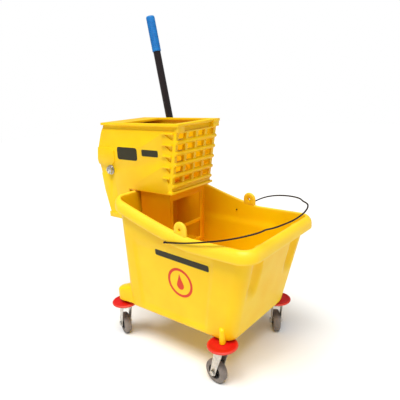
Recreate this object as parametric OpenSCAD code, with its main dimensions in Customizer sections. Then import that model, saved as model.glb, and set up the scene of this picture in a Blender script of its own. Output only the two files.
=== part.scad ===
// Mop bucket with side-press wringer: swooped bucket on four bumper casters,
// wire bail, and a lever-worked wringer that hooks over the bucket's high end.
// X runs towards the pouring end, Y to its left, Z up; the ground is z = 0.

/* [Bucket] */
// Height of the underside of the bucket floor
floor_z = 126; // [118:1:160]
// Distance from the origin to the front of the floor
floor_front = 193; // [160:1:240]
// Distance from the origin back to the rear of the floor
floor_back = 178; // [150:1:220]
// Width of the floor
floor_w = 276; // [240:1:340]
// Distance from the origin to the front wall at the rim
rim_front = 262; // [200:1:300]
// Distance from the origin back to the rear wall at the rim
rim_back = 166; // [140:1:210]
// Width over the walls at the rim
rim_w = 316; // [280:1:380]
// Height of the level front part of the rim
rim_z = 394; // [330:1:470]
// How much higher the rim stands at the wringer end
rim_rise = 72; // [50:1:90]
// Where the rim starts to climb towards the wringer end
ramp_x = 100; // [60:1:140]
// Wall thickness of the bucket
wall = 4; // [3:0.5:6]
// Corner radius of the floor
floor_r = 30; // [25:1:60]
// Corner radius of the rim
rim_r = 30; // [25:1:60]
// How far the flared lip stands out from the wall
lip_w = 14; // [8:1:18]
// Height of the flared lip
lip_h = 32; // [20:1:38]
// Radius of the round ear on each side of the rim
ear_r = 20; // [14:1:26]
// Height of the ear's centre above the rim
ear_rise = 12; // [6:1:18]
// Thickness of the ear
ear_t = 9; // [6:1:12]
// Hole radius in the ear
ear_hole_r = 4; // [3:0.5:6]
// Place of the ears along the bucket
ear_x = 68; // [40:1:100]

/* [Bail] */
// Radius of the bail wire
wire_r = 2; // [1.5:0.25:3.5]
// Place of the bail pivots along the bucket
bail_x = 26; // [0:1:50]
// Height of the bail pivots
bail_z = 375; // [330:1:420]
// Gap between the bail's leg and the lip
bail_gap = 1; // [0.5:0.5:4]

/* [Casters] */
// Radius of the wheel
wheel_r = 32.5; // [28:0.5:34]
// Width of the tread
tyre_w = 22; // [16:1:26]
// Radius of the hub
hub_r = 19; // [14:1:22]
// Distance from the swivel axis to the wheel axle
trail = 25; // [18:1:30]
// Radius of the round bumper
bumper_r = 40; // [32:1:48]
// Thickness of the bumper
bumper_t = 8; // [5:1:10]
// Gap between the bumper and the bucket floor
bumper_gap = 4; // [3:0.5:12]
// Radius of the caster stem
stem_r = 5.5; // [4:0.5:7]
// Radius of the axle
axle_r = 4; // [3:0.5:5]
// Place of the front casters along the bucket
front_x = 169; // [140:1:190]
// Distance of the front casters from the middle
front_y = 141; // [120:1:150]
// Distance of the rear casters behind the origin
rear_x = 210; // [190:1:230]
// Distance of the rear casters from the middle
rear_y = 123; // [110:1:140]

/* [Wringer] */
// Height of the wringer's mouth
wr_top = 657; // [600:1:720]
// Front of the wringer's mouth
wr_front = 14; // [-10:1:40]
// Half width over the side panels
wr_half = 84; // [70:1:95]
// Thickness of the side panels
panel_t = 5; // [4:0.5:8]
// Forward lean of the grate, per unit of height
wr_lean = 0.2; // [0.1:0.01:0.3]
// Thickness of the mouth flange
flange_t = 7; // [5:1:10]
// How far the flanges stand out from the panels
flange_out = 5; // [3:1:6]
// Thickness of the grate
grate_t = 10; // [6:1:14]
// Rows of windows in the grate
grate_rows = 5; // [4:1:6]
// Columns of windows in the grate
grate_cols = 4; // [3:1:5]
// How far the hopper's sides stand in from the side panels
hopper_in = 9; // [6:1:24]
// Height of the hopper's floor
hopper_z = 290; // [240:1:330]
// Wall thickness of the hopper and the rear cover
hopper_t = 4; // [3:0.5:6]

/* [Press] */
// Thickness of the press plate
plate_t = 6; // [4:1:10]
// Length of the press plate above its hinge
plate_l = 150; // [120:1:160]
// Backward lean of the press plate at rest, in degrees
plate_lean = 32; // [28:1:36]
// Turn of the lever from rest to full press, in degrees
lever_turn = 55; // [40:1:55]
// Turn of the press plate for each degree of the lever
press_ratio = 0.65; // [0.5:0.01:0.7]
// Radius of the press plate's hinge pin
plate_pin_r = 5; // [4:0.5:6]
// Radius of the cross shaft
shaft_r = 8; // [6:0.5:10]
// Length of the cranks
crank_l = 122; // [110:1:126]
// Angle of the cranks at rest, in degrees
crank_a = 60; // [55:1:62]
// Radius of the push bar
bar_r = 8; // [6:0.5:9]

/* [Lever] */
// Radius of the lever tube
tube_r = 11; // [9:0.5:13]
// Wall of the lever tube
tube_t = 1.5; // [1:0.25:3]
// Height of the top of the lever
lever_top = 955; // [850:1:1100]
// Backward lean of the lever, in degrees
lever_lean = 9.8; // [5:0.1:14]
// Length of the grip
grip_l = 104; // [80:1:160]
// Thickness of the grip
grip_t = 2; // [1.5:0.25:4]
// Distance from the side panel to the middle of the lever tube
lever_out = 21; // [20:1:36]

/* [Fits] */
// Radial clearance of a pin that turns in a hole
run_gap = 0.08; // [0.04:0.01:0.1]
// Clearance between faces that pass each other
slide_gap = 0.5; // [0.3:0.1:1]

/* [Hidden] */

yellow = [0.98, 0.80, 0.02];
yellow_deep = [0.95, 0.66, 0.02];
red = [0.91, 0.13, 0.10];
zinc = [0.78, 0.77, 0.75];
black = [0.10, 0.09, 0.09];
blue = [0.16, 0.55, 0.80];
grey = [0.60, 0.57, 0.54];
$fn = 48;
eps = 0.01;

function lerp(a, b, t) = a + (b - a) * t;
// A vector in the XZ plane turned forwards, the way the lever swings, by a degrees
function swing(v, a) = [v[0] * cos(a) + v[1] * sin(a), -v[0] * sin(a) + v[1] * cos(a)];

// ---------------------------------------------------------------- bucket
ramp_power = 1.25;
function rim_at(x) =
  rim_z + rim_rise * pow(min(1, max(0, ramp_x - x) / (ramp_x + rim_back)), ramp_power);

arc_n = 6;
side_n = 10;
end_n = 3;

// One ring of the bucket's wall: f runs from 0 at the floor to 1 at the rim,
// off moves it out from the wall and dz lifts it
function ring(f, off, dz) =
  let (
    xf = lerp(floor_front, rim_front, f) + off,
    xb = -lerp(floor_back, rim_back, f) - off,
    hw = lerp(floor_w, rim_w, f) / 2 + off,
    r = lerp(floor_r, rim_r, f) + off,
    cxf = xf - r,
    cxb = xb + r,
    cy = hw - r,
    flat = concat(
      [for (i = [1:end_n]) [xf, lerp(-cy, cy, i / (end_n + 1))]],
      [for (i = [0:arc_n]) [cxf + r * cos(90 * i / arc_n), cy + r * sin(90 * i / arc_n)]],
      [for (i = [1:side_n]) [lerp(cxf, cxb, i / (side_n + 1)), hw]],
      [for (i = [0:arc_n]) [cxb - r * sin(90 * i / arc_n), cy + r * cos(90 * i / arc_n)]],
      [for (i = [1:end_n]) [xb, lerp(cy, -cy, i / (end_n + 1))]],
      [for (i = [0:arc_n]) [cxb - r * cos(90 * i / arc_n), -cy - r * sin(90 * i / arc_n)]],
      [for (i = [1:side_n]) [lerp(cxb, cxf, i / (side_n + 1)), -hw]],
      [for (i = [0:arc_n]) [cxf + r * sin(90 * i / arc_n), -cy - r * cos(90 * i / arc_n)]]
    )
  )
  [for (p = flat) [p[0], p[1], floor_z + f * (rim_at(p[0]) - floor_z) + dz]];

function middle(r) = [for (k = [0:2]) [for (p = r) p[k]] * [for (p = r) 1] / len(r)];

// A closed solid through rings that all have the same number of points, fanned shut at both ends
module skin(rings) {
  n = len(rings[0]);
  m = len(rings);
  polyhedron(
    points = concat([for (r = rings) for (p = r) p], [middle(rings[0]), middle(rings[m - 1])]),
    faces = concat(
      [for (i = [0:n - 1]) [i, (i + 1) % n, m * n]],
      [for (k = [0:m - 2]) for (i = [0:n - 1])
        [k * n + i, (k + 1) * n + i, (k + 1) * n + (i + 1) % n]],
      [for (k = [0:m - 2]) for (i = [0:n - 1])
        [k * n + i, (k + 1) * n + (i + 1) % n, k * n + (i + 1) % n]],
      [for (i = [0:n - 1]) [(m - 1) * n + (i + 1) % n, (m - 1) * n + i, m * n + 1]]
    ),
    convexity = 6
  );
}

wall_steps = [0.06, 0.3, 0.6];

// The whole shell in one skin: outside, flared lip, inside and floor
module bucket_shell() {
  lip = [
    [0, -lip_h],
    [lip_w - 1.5, -lip_h],
    [lip_w, -lip_h + 3],
    [lip_w - 1, -lip_h * 0.5],
    [lip_w - 5, -lip_h * 0.15],
    [lip_w * 0.3, 0],
    [-wall + 1, 0],
    [-wall, -2]
  ];
  skin(concat(
    [ring(0, -9, 0)],
    [ring(0, -2.5, 3)],
    [for (f = wall_steps) ring(f, 0, 0)],
    [for (p = lip) ring(1, p[0], p[1])],
    [for (i = [len(wall_steps) - 1:-1:0]) ring(wall_steps[i], -wall, 0)],
    [ring(0, -wall - 2.5, wall + 3)],
    [ring(0, -wall - 9, wall)]
  ));
}

// A ring pressed flat at height z
function level(r, z) = [for (p = r) [p[0], p[1], z]];

// The hollow of the bucket out to the middle of its wall, which trims what is added outside
module bucket_core() {
  skin([
    ring(0, -wall / 2 - 6, wall / 2),
    ring(0, -wall / 2, wall / 2 + 5),
    level(ring(0.4, -wall / 2, 0), floor_z + 0.4 * (rim_z - floor_z))
  ]);
}

bumper_top = floor_z - bumper_gap;
boss_r = stem_r + 3.5;
stem_top = floor_z + 34;
front_pad_r = 12;
rear_pad_r = 25;
front_pad_z = floor_z + 18;
rear_pad_z = floor_z + 7;
pad_h = 40;

// A rounded lobe over a caster, tied back to the floor corner at (ax, ay)
module caster_pad(x, y, z, ax, ay, pad_r) {
  neck = pad_r - 3;
  a = atan2(ay - y, ax - x);
  l = norm([ax - x, ay - y]);
  translate([x, y, z])
    cylinder(r = pad_r, h = pad_h);
  translate([x, y, z])
    rotate([0, 0, a])
      translate([0, -neck, 0])
        cube([l, 2 * neck, pad_h]);
  translate([x, y, bumper_top + slide_gap])
    cylinder(r = boss_r, h = z - bumper_top);
}

ear_y = rim_w / 2;
ear_z = rim_at(ear_x) + ear_rise;

module ear(side) {
  translate([ear_x, side * (ear_y - wall + ear_t / 2), ear_z])
    rotate([90, 0, 0])
      cylinder(r = ear_r, h = ear_t, center = true);
  translate([ear_x - ear_r, side * (ear_y - wall + ear_t / 2) - ear_t / 2, ear_z - ear_rise - 8])
    cube([2 * ear_r, ear_t, ear_rise + 8]);
}

wire_y = rim_w / 2 + lip_w + bail_gap + wire_r;
bail_boss_out = rim_w / 2 + lip_w - 4;
bail_boss_r = 8;

module bail_boss(side) {
  translate([bail_x, side * (bail_boss_out - 22), bail_z])
    rotate([-90 * side, 0, 0])
      cylinder(r = bail_boss_r, h = 22);
}

module bail_bore(side) {
  translate([bail_x, side * (rim_w / 2 - 40), bail_z])
    rotate([-90 * side, 0, 0])
      cylinder(r = wire_r + run_gap, h = 80);
}

module bucket() color(yellow) {
  difference() {
    union() {
      bucket_shell();
      difference() {
        for (s = [-1, 1]) {
          caster_pad(
            front_x, s * front_y, front_pad_z,
            floor_front - 60, s * (floor_w / 2 - 55), front_pad_r
          );
          caster_pad(
            -rear_x, s * rear_y, rear_pad_z,
            -floor_back + 60, s * (floor_w / 2 - 45), rear_pad_r
          );
        }
        bucket_core();
      }
      for (s = [-1, 1])
        bail_boss(s);
    }
    for (s = [-1, 1]) {
      bail_bore(s);
      translate([front_x, s * front_y, bumper_top - 1])
        cylinder(r = stem_r, h = stem_top - bumper_top + 1);
      translate([-rear_x, s * rear_y, bumper_top - 1])
        cylinder(r = stem_r, h = stem_top - bumper_top + 1);
    }
  }
  for (s = [-1, 1])
    difference() {
      ear(s);
      translate([ear_x, s * ear_y, ear_z])
        rotate([90, 0, 0])
          cylinder(r = ear_hole_r, h = 60, center = true);
    }
}

// A wire that bows from the pivots up over the rim, cranked in on each side of its middle;
// its left leg has sprung up, as such bails do in use
bail_right = [
  [bail_x, -wire_y, bail_z], [bail_x + 25, -wire_y, bail_z + 4], [bail_x + 70, -wire_y, bail_z + 12],
  [bail_x + 118, -wire_y + 1, bail_z + 23], [bail_x + 166, -wire_y + 8, bail_z + 34],
  [bail_x + 210, -wire_y + 25, bail_z + 45], [bail_x + 240, -wire_y + 50, bail_z + 53]
];
bail_front = [
  [bail_x + 250, -107, bail_z + 57], [bail_x + 258, -101, bail_z + 59], [bail_x + 264, -92, bail_z + 60],
  [bail_x + 272, -76, bail_z + 62], [bail_x + 284, -40, bail_z + 66], [bail_x + 287, 0, bail_z + 70],
  [bail_x + 282, 36, bail_z + 73], [bail_x + 272, 62, bail_z + 74], [bail_x + 264, 74, bail_z + 74],
  [bail_x + 256, 82, bail_z + 74], [bail_x + 246, 90, bail_z + 74]
];
bail_left = [
  [bail_x + 222, wire_y - 60, bail_z + 73], [bail_x + 180, wire_y - 36, bail_z + 68],
  [bail_x + 130, wire_y - 15, bail_z + 58], [bail_x + 85, wire_y - 4, bail_z + 44],
  [bail_x + 45, wire_y, bail_z + 24], [bail_x + 18, wire_y, bail_z + 8], [bail_x, wire_y, bail_z]
];
bail_path = concat(bail_right, bail_front, bail_left);

function unit(v) = v / max(norm(v), 1e-9);
// Point on the smooth curve through path p, s steps along it
function curve_at(p, s) =
  let (
    n = len(p) - 1,
    i = min(floor(s), n - 1),
    t = s - i,
    a = p[max(i - 1, 0)],
    b = p[i],
    c = p[i + 1],
    d = p[min(i + 2, n)]
  )
  0.5 * (
    2 * b + (c - a) * t
    + (2 * a - 5 * b + 4 * c - d) * t * t
    + (3 * b - a - 3 * c + d) * t * t * t
  );

// Round tube of radius r swept along the smooth curve through path p
module swept(p, r, sides, steps) {
  n = (len(p) - 1) * steps;
  pts = [for (k = [0:n]) curve_at(p, k / steps)];
  rings = [for (k = [0:n])
    let (
      t = unit(pts[min(k + 1, n)] - pts[max(k - 1, 0)]),
      u = unit(cross(t, [0, 0, 1])),
      v = cross(t, u)
    )
    [for (j = [0:sides - 1]) pts[k] + r * (cos(360 * j / sides) * u + sin(360 * j / sides) * v)]
  ];
  skin(rings);
}

wire_in = 26;

module bail_wire() color([0.23, 0.12, 0.06]) {
  swept(bail_path, wire_r, 10, 3);
  for (s = [-1, 1]) {
    translate([bail_x, s * wire_y, bail_z])
      sphere(r = wire_r + 0.6);
    translate([bail_x, s * (wire_y - wire_in), bail_z])
      rotate([-90 * s, 0, 0])
        cylinder(r = wire_r, h = wire_in);
  }
}

// ---------------------------------------------------------------- wringer housing
// Front face of the grate at height z
function front_at(z) = wr_front - wr_lean * (wr_top - z);

flange_z = wr_top - flange_t;
seat_z = rim_z + rim_rise + slide_gap;
panel_z = seat_z + hopper_t;
leg_front = -rim_back - lip_w - 8;
leg_back = leg_front - 92;
shaft_x = leg_front - 71;
shaft_z = seat_z + 52.5;
tie_x = leg_front - 51;
tie_z = seat_z - 55.5;
foot_z = seat_z - 94.5;
foot_top = foot_z + 16;

// The wringer's back, from the mouth down to the foot
head = wr_top - shaft_z;
back_line = [
  [leg_back + 3, flange_z], [leg_back - 12, shaft_z + head * 0.75],
  [shaft_x - 49, shaft_z + head * 0.47], [shaft_x - 55, shaft_z + head * 0.21], [shaft_x - 47, shaft_z - 4],
  [leg_back - 18, seat_z - 12.5], [leg_back, foot_top], [leg_back, foot_z]
];

module panel_outline() {
  polygon(concat(
    [[front_at(flange_z) - grate_t, flange_z]],
    back_line,
    [[leg_front, foot_z], [leg_front, panel_z], [front_at(panel_z) - grate_t, panel_z]]
  ));
}

row_top = flange_z - 20;
row_bottom = panel_z + 12;
row_pitch = (row_top - row_bottom) / grate_rows;
window_h = row_pitch * 0.47;

// V-shaped window at the front edge of a side panel, one for each row of the grate
module side_window(row) {
  z1 = row_top - row * row_pitch;
  z0 = z1 - window_h;
  w = 40 - 5 * row;
  polygon([
    [front_at(z1) - 4 - w, z1], [front_at(z1) + 5, z1],
    [front_at(z0) + 5, z0], [front_at(z0) - 4 - w * 0.35, z0]
  ]);
}

slot_h = 26;
foot_out = 4;
shelf_out = 4.5;
window_web = 1.2;

module side_panel(side) {
  bolt_boss = 3;
  y0 = side > 0 ? wr_half - panel_t : -wr_half;
  out = side > 0 ? wr_half : -wr_half;
  difference() {
    union() {
      translate([0, y0 + panel_t, 0])
        rotate([90, 0, 0])
          linear_extrude(height = panel_t)
            panel_outline();
      // raised housing band behind the shaft
      translate([0, out + (side > 0 ? bolt_boss : 0), 0])
        rotate([90, 0, 0])
          linear_extrude(height = bolt_boss)
            translate([shaft_x, shaft_z])
              polygon([[-49, 65], [-55, 29], [-51, 15], [9, 15], [21, 29], [19, 59], [9, 67]]);
      // foot lip
      translate([leg_back - 2, side > 0 ? wr_half - eps : -wr_half - foot_out, foot_z])
        cube([leg_front - leg_back + 2, foot_out + eps, foot_top - foot_z]);
      // shelves over the side windows
      for (row = [0:grate_rows - 1])
        translate([0, side > 0 ? wr_half + shelf_out : -wr_half, 0])
          rotate([90, 0, 0])
            linear_extrude(height = shelf_out)
              let (z = row_top - row * row_pitch)
                polygon([
                  [front_at(z) - 52 + 4 * row, z + 1], [front_at(z) - grate_t, z],
                  [front_at(z) - grate_t, z + 4], [front_at(z) - 48 + 4 * row, z + 5]
                ]);
    }
    // recess under the mouth flange
    translate([leg_back - 10, side > 0 ? wr_half - 2 : -wr_half - 1, flange_z - 12])
      cube([400, 3, 12 + eps]);
    // slot that the shaft is fitted through
    translate([shaft_x - 71, side > 0 ? wr_half - 2 : -wr_half - 1, shaft_z - slot_h / 2])
      cube([71, 3, slot_h]);
    translate([shaft_x, side > 0 ? wr_half - 2 : -wr_half - 1, shaft_z])
      rotate([-90, 0, 0])
        cylinder(r = slot_h / 2, h = 3);
    // bores for the shaft bush, the tie rod and the plate's hinge pin
    translate([shaft_x, y0 - 1, shaft_z])
      rotate([-90, 0, 0])
        cylinder(r = bush_r, h = panel_t + 2);
    translate([tie_x, y0 - 5, tie_z])
      rotate([-90, 0, 0])
        cylinder(r = screw_r, h = panel_t + 10);
    translate([hinge_x, side > 0 ? y0 - eps : y0 + 2, hinge_z])
      rotate([-90, 0, 0])
        cylinder(r = plate_pin_r, h = panel_t - 2 + eps);
    for (row = [0:grate_rows - 1])
      translate([0, side > 0 ? wr_half + shelf_out : -wr_half + panel_t - window_web, 0])
        rotate([90, 0, 0])
          linear_extrude(height = panel_t - window_web + shelf_out)
            side_window(row);
  }
}

screw_r = 3;
bush_r = shaft_r + 3;

module right_side_panel() color(yellow) side_panel(-1);
module left_side_panel() color(yellow) side_panel(1);

mouth_back = leg_front - 12;

module mouth_flange() color(yellow) {
  edge = wr_half + flange_out;
  difference() {
    union() {
      translate([leg_back - 1, -edge, flange_z])
        cube([wr_front + 7 - leg_back, 2 * edge, flange_t]);
      // corner blocks over the ends of the grate, with a thin apron between them
      for (s = [-1, 1])
        translate([0, s * (edge - 15), 0])
          across(26)
            polygon([
              [front_at(flange_z), flange_z + eps], [front_at(row_top + 6), row_top + 6],
              [wr_front + 4, row_top + 6], [wr_front + 4, flange_z + eps]
            ]);
    }
    translate([mouth_back, -wr_half + 10, flange_z - 1])
      cube([-mouth_back - 4, 2 * wr_half - 20, flange_t + 2]);
    translate([wr_front + 1, -edge + 29, flange_z - 1])
      cube([20, 2 * edge - 58, flange_t - 2]);
  }
}

bar_w = 10;
win_w = (2 * wr_half - bar_w * (grate_cols + 1)) / grate_cols;

// Extrudes an XZ outline to width w about the middle
module across(w) {
  translate([0, w / 2, 0])
    rotate([90, 0, 0])
      linear_extrude(height = w)
        children();
}

module front_grate() color(yellow) {
  difference() {
    union() {
      across(2 * wr_half)
        polygon([
          [front_at(flange_z), flange_z], [front_at(flange_z) - grate_t, flange_z],
          [front_at(panel_z) - grate_t, panel_z], [front_at(panel_z), panel_z]
        ]);
      // sloping sills that stand out between the rows
      for (row = [0:grate_rows - 1])
        let (z = row_top - row * row_pitch - window_h)
          across(2 * wr_half)
            polygon([
              [front_at(z) - 2, z], [front_at(z) + 4, z - 4],
              [front_at(z) + 4, z - 9], [front_at(z) - 2, z - 13]
            ]);
      across(2 * (wr_half + flange_out))
        polygon([
          [front_at(panel_z) - grate_t, panel_z], [front_at(panel_z) + 7, panel_z],
          [front_at(panel_z) + 7, panel_z + 6], [front_at(panel_z + 6) - grate_t, panel_z + 6]
        ]);
    }
    for (row = [0:grate_rows - 1])
      for (col = [0:grate_cols - 1])
        let (z1 = row_top - row * row_pitch, z0 = z1 - window_h)
          translate([0, -wr_half + bar_w + win_w + col * (win_w + bar_w), 0])
            rotate([90, 0, 0])
              linear_extrude(height = win_w)
                polygon([
                  [front_at(z1) - 20, z1 + 2], [front_at(z1) + 10, z1 + 2],
                  [front_at(z0) + 10, z0 - 3], [front_at(z0) - 20, z0 + 3]
                ]);
    // recessed apron under the mouth
    translate([front_at(row_top) - 2, -wr_half + 24, row_top + 6])
      cube([40, 2 * wr_half - 48, flange_z - row_top - 6 + 1]);
  }
}

module rear_cover() color(yellow) {
  inner = [for (i = [len(back_line) - 1:-1:0]) [back_line[i][0] + hopper_t, back_line[i][1]]];
  across(2 * (wr_half - panel_t))
    polygon(concat(back_line, inner));
  // front wall of the back, which hangs behind the bucket, and the floor that closes it
  translate([leg_front, -(wr_half - panel_t), foot_z])
    cube([hopper_t, 2 * (wr_half - panel_t), seat_z - foot_z]);
  translate([leg_back + hopper_t / 2, -(wr_half - panel_t), foot_z])
    cube([leg_front - leg_back - hopper_t / 2 + 1, 2 * (wr_half - panel_t), hopper_t]);
}

hopper_back = -rim_back + wall + 10;
hopper_half = wr_half - hopper_in;

module hopper() color(yellow_deep) {
  top_front = front_at(panel_z) - 14;
  low_front = top_front - 10;
  ledge_z = hopper_z + 75;
  difference() {
    union() {
      // seat that rests on the rim and carries the side panels
      translate([leg_front, -wr_half, seat_z])
        cube([front_at(panel_z) - leg_front, 2 * wr_half, hopper_t]);
      across(2 * hopper_half)
        polygon([
          [hopper_back, seat_z + 1], [hopper_back, hopper_z],
          [low_front, hopper_z], [top_front, seat_z + 1]
        ]);
    }
    across(2 * (hopper_half - hopper_t))
      polygon([
        [hopper_back + hopper_t, panel_z + 1], [hopper_back + hopper_t, hopper_z + hopper_t],
        [low_front - hopper_t, hopper_z + hopper_t], [top_front - hopper_t, panel_z + 1]
      ]);
    // windows in the front, above and below the ledge
    translate([low_front - 20, -hopper_half + 12, ledge_z])
      cube([60, 2 * hopper_half - 30, 80]);
    translate([low_front - 20, -hopper_half + 60, hopper_z + 14])
      cube([60, 2 * hopper_half - 78, ledge_z - hopper_z - 24]);
  }
}

module tie_rod() color(zinc) {
  translate([tie_x, -(wr_half - panel_t), tie_z])
    rotate([-90, 0, 0])
      difference() {
        cylinder(r = 6, h = 2 * (wr_half - panel_t));
        translate([0, 0, -1])
          cylinder(r = screw_r, h = 21);
        translate([0, 0, 2 * (wr_half - panel_t) - 20])
          cylinder(r = screw_r, h = 21);
      }
}

module tie_rod_screws() color(zinc)
  for (s = [-1, 1])
    translate([tie_x, s * wr_half, tie_z])
      rotate([-90 * s, 0, 0]) {
        difference() {
          cylinder(r = 6, h = 3);
          translate([-0.8, -7, 2])
            cube([1.6, 14, 2]);
        }
        translate([0, 0, -20])
          cylinder(r = screw_r, h = 20 + eps);
      }

module bush(side) {
  translate([shaft_x, side * (wr_half - panel_t - 2), shaft_z])
    rotate([-90 * side, 0, 0])
      difference() {
        union() {
          cylinder(r = bush_r, h = panel_t + 1.5);
          cylinder(r = bush_r + 3, h = 2);
        }
        translate([0, 0, -1])
          cylinder(r = shaft_r + run_gap, h = panel_t + 5);
      }
}

module right_bush() color(black) bush(-1);
module left_bush() color(black) bush(1);

// ---------------------------------------------------------------- press
hinge_x = leg_front + 93;
hinge_z = seat_z + 20.5;
plate_half = wr_half - panel_t - 5;
rib_y = 34;
rib_t = 6;

// Middle of the push bar, seen from the plate's hinge in the plate's own rest position,
// when the lever has turned by a
function bar_path(a) =
  let (
    bar = [shaft_x, shaft_z] + crank_l * [cos(crank_a - a), sin(crank_a - a)]
  )
  swing(bar - [hinge_x, hinge_z], -press_ratio * a);

// The same path moved in towards the plate, so that the bar just clears the rib at every angle
function rib_point(a) =
  let (
    p = bar_path(a),
    d = unit(bar_path(a + 1) - bar_path(a - 1)),
    n = [-d[1], d[0]]
  )
  p + n * (bar_r + slide_gap);

up = [-sin(plate_lean), cos(plate_lean)];
back = [-cos(plate_lean), -sin(plate_lean)];

module press_plate() color(yellow_deep) {
  knuckle_r = plate_pin_r + 5;
  steps = 8;
  rib = [for (i = [0:steps]) rib_point(lever_turn * i / steps)];
  translate([hinge_x, 0, hinge_z]) {
    difference() {
      union() {
        across(2 * plate_half)
          polygon([
            up * plate_l, up * plate_l - back * plate_t, -back * plate_t + up * -6,
            back * 4 + up * -6, back * 4 + up * 8, up * 14
          ]);
        across(2 * plate_half)
          translate([0, 0])
            circle(r = knuckle_r);
        for (y = [-rib_y, rib_y])
          translate([0, y, 0])
            across(rib_t)
              polygon(concat(rib, [up * 10 - back * 1, up * (plate_l - 6) - back * 1]));
      }
      translate([0, -plate_half - 1, 0])
        rotate([-90, 0, 0])
          cylinder(r = plate_pin_r + run_gap, h = 2 * plate_half + 2);
      // rows of drain slots
      for (i = [0:3])
        let (low = up * (32 + 28 * i), high = up * (42 + 28 * i))
          for (k = [-1:1])
            translate([0, k * 42, 0])
              across(20)
                polygon([low + back * 9, low - back * 12, high - back * 12, high + back * 9]);
    }
  }
}

module press_plate_pin() color(zinc)
  translate([hinge_x, -(wr_half - 2) + 0.2, hinge_z])
    rotate([-90, 0, 0])
      cylinder(r = plate_pin_r, h = 2 * (wr_half - 2) - 0.4);

crank_y = wr_half - 26;
crank_t = 6;

module cross_shaft() color(zinc)
  translate([shaft_x, -wr_half - 9, shaft_z])
    rotate([-90, 0, 0])
      cylinder(r = shaft_r, h = 2 * wr_half + 9 + lever_gap + lever_t);

lever_gap = 5;
lever_t = 6;

module crank(side) {
  tip = crank_l * [cos(crank_a), sin(crank_a)];
  translate([shaft_x, side * crank_y + crank_t / 2, shaft_z])
    rotate([90, 0, 0])
      difference() {
        union() {
          cylinder(r = shaft_r + 7, h = crank_t);
          translate([tip[0], tip[1], 0])
            cylinder(r = bar_r + 1, h = crank_t);
          linear_extrude(height = crank_t)
            rotate([0, 0, crank_a])
              polygon([
              [0, -shaft_r - 5], [crank_l, -bar_r - 0.5],
              [crank_l, bar_r + 0.5], [0, shaft_r + 5]
            ]);
        }
        translate([0, 0, -1])
          cylinder(r = shaft_r, h = crank_t + 2);
        translate([tip[0], tip[1], -1])
          cylinder(r = bar_r - 1.5, h = crank_t + 2);
      }
}

module right_crank() color(zinc) crank(-1);
module left_crank() color(zinc) crank(1);

module push_bar() color(zinc) {
  tip = crank_l * [cos(crank_a), sin(crank_a)];
  half = crank_y - crank_t / 2;
  translate([shaft_x + tip[0], 0, shaft_z + tip[1]])
    rotate([-90, 0, 0]) {
      translate([0, 0, -half])
        cylinder(r = bar_r, h = 2 * half);
      translate([0, 0, -half - crank_t])
        cylinder(r = bar_r - 1.5, h = 2 * half + 2 * crank_t);
    }
}

spring_r = shaft_r + 4;
spring_wire = 1.5;
spring_turns = 5;

module return_spring() color(zinc) {
  pitch = 2 * spring_wire + 0.8;
  steps = 14;
  n = spring_turns * steps;
  coil = [for (k = [0:n])
    [
      shaft_x + spring_r * cos(360 * k / steps + 200),
      crank_y - 12 - pitch * k / steps,
      shaft_z + spring_r * sin(360 * k / steps + 200)
    ]];
  rings = [for (k = [0:n])
    let (
      t = unit(coil[min(k + 1, n)] - coil[max(k - 1, 0)]),
      u = unit(cross(t, [0, 1, 0])),
      v = cross(t, u)
    )
    [for (j = [0:7]) coil[k] + spring_wire * (cos(45 * j) * u + sin(45 * j) * v)]
  ];
  skin(rings);
}

module shaft_washer() color(zinc)
  translate([shaft_x, -wr_half - 1, shaft_z])
    rotate([90, 0, 0])
      difference() {
        cylinder(r = shaft_r + 6, h = 2);
        translate([0, 0, -1])
          cylinder(r = shaft_r, h = 4);
      }

module shaft_nut() color(zinc)
  translate([shaft_x, -wr_half - 3, shaft_z])
    rotate([90, 0, 0])
      difference() {
        cylinder(r = shaft_r + 4, h = 7, $fn = 6);
        translate([0, 0, -1])
          cylinder(r = shaft_r, h = 9);
      }

// ---------------------------------------------------------------- lever
tube_dir = [-sin(lever_lean), cos(lever_lean)];
tube_low = [shaft_x + 85, shaft_z + 73];
tube_l = (lever_top - tube_low[1]) / cos(lever_lean);
socket_l = 52;

// Sets its children along the lever tube, d up from its lower end
module on_tube(d) {
  translate([tube_low[0] + tube_dir[0] * d, wr_half + lever_out, tube_low[1] + tube_dir[1] * d])
    rotate([0, -lever_lean, 0])
      children();
}

module lever_arm() color(black) {
  y0 = wr_half + lever_gap;
  rel = tube_low + 26 * tube_dir - [shaft_x, shaft_z];
  difference() {
    union() {
      translate([shaft_x, y0 + lever_t, shaft_z])
        rotate([90, 0, 0]) {
          cylinder(r = shaft_r + 9, h = lever_t);
          linear_extrude(height = lever_t)
            polygon([
              [-8, 14], [4, -16], rel + [12, -28], rel + [12, 14], rel + [-14, 20]
            ]);
        }
      on_tube(-6)
        cylinder(r = tube_r + 3, h = socket_l + 6);
    }
    on_tube(0)
      cylinder(r = tube_r, h = socket_l + 1);
    translate([shaft_x, y0 - 1, shaft_z])
      rotate([-90, 0, 0])
        cylinder(r = shaft_r, h = lever_t + 2);
    for (d = [14, 38])
      on_tube(d)
        rotate([0, 90, 0])
          cylinder(r = 2.5, h = 60, center = true);
  }
}

module lever_tube() color([0.16, 0.10, 0.12])
  difference() {
    on_tube(0)
      cylinder(r = tube_r, h = tube_l - 3);
    on_tube(-1)
      cylinder(r = tube_r - tube_t, h = tube_l + 2);
    for (d = [14, 38])
      on_tube(d)
        rotate([0, 90, 0])
          cylinder(r = 2.5, h = 60, center = true);
  }

module lever_grip() color(blue)
  on_tube(tube_l - grip_l)
    difference() {
      cylinder(r = tube_r + grip_t, h = grip_l - 3);
      translate([0, 0, -1])
        cylinder(r = tube_r, h = grip_l + 2);
    }

module lever_cap() color(blue)
  on_tube(tube_l - 3) {
    cylinder(r = tube_r + grip_t - 0.5, h = 3);
    translate([0, 0, -12])
      cylinder(r = tube_r - tube_t, h = 12 + eps);
  }

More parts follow.
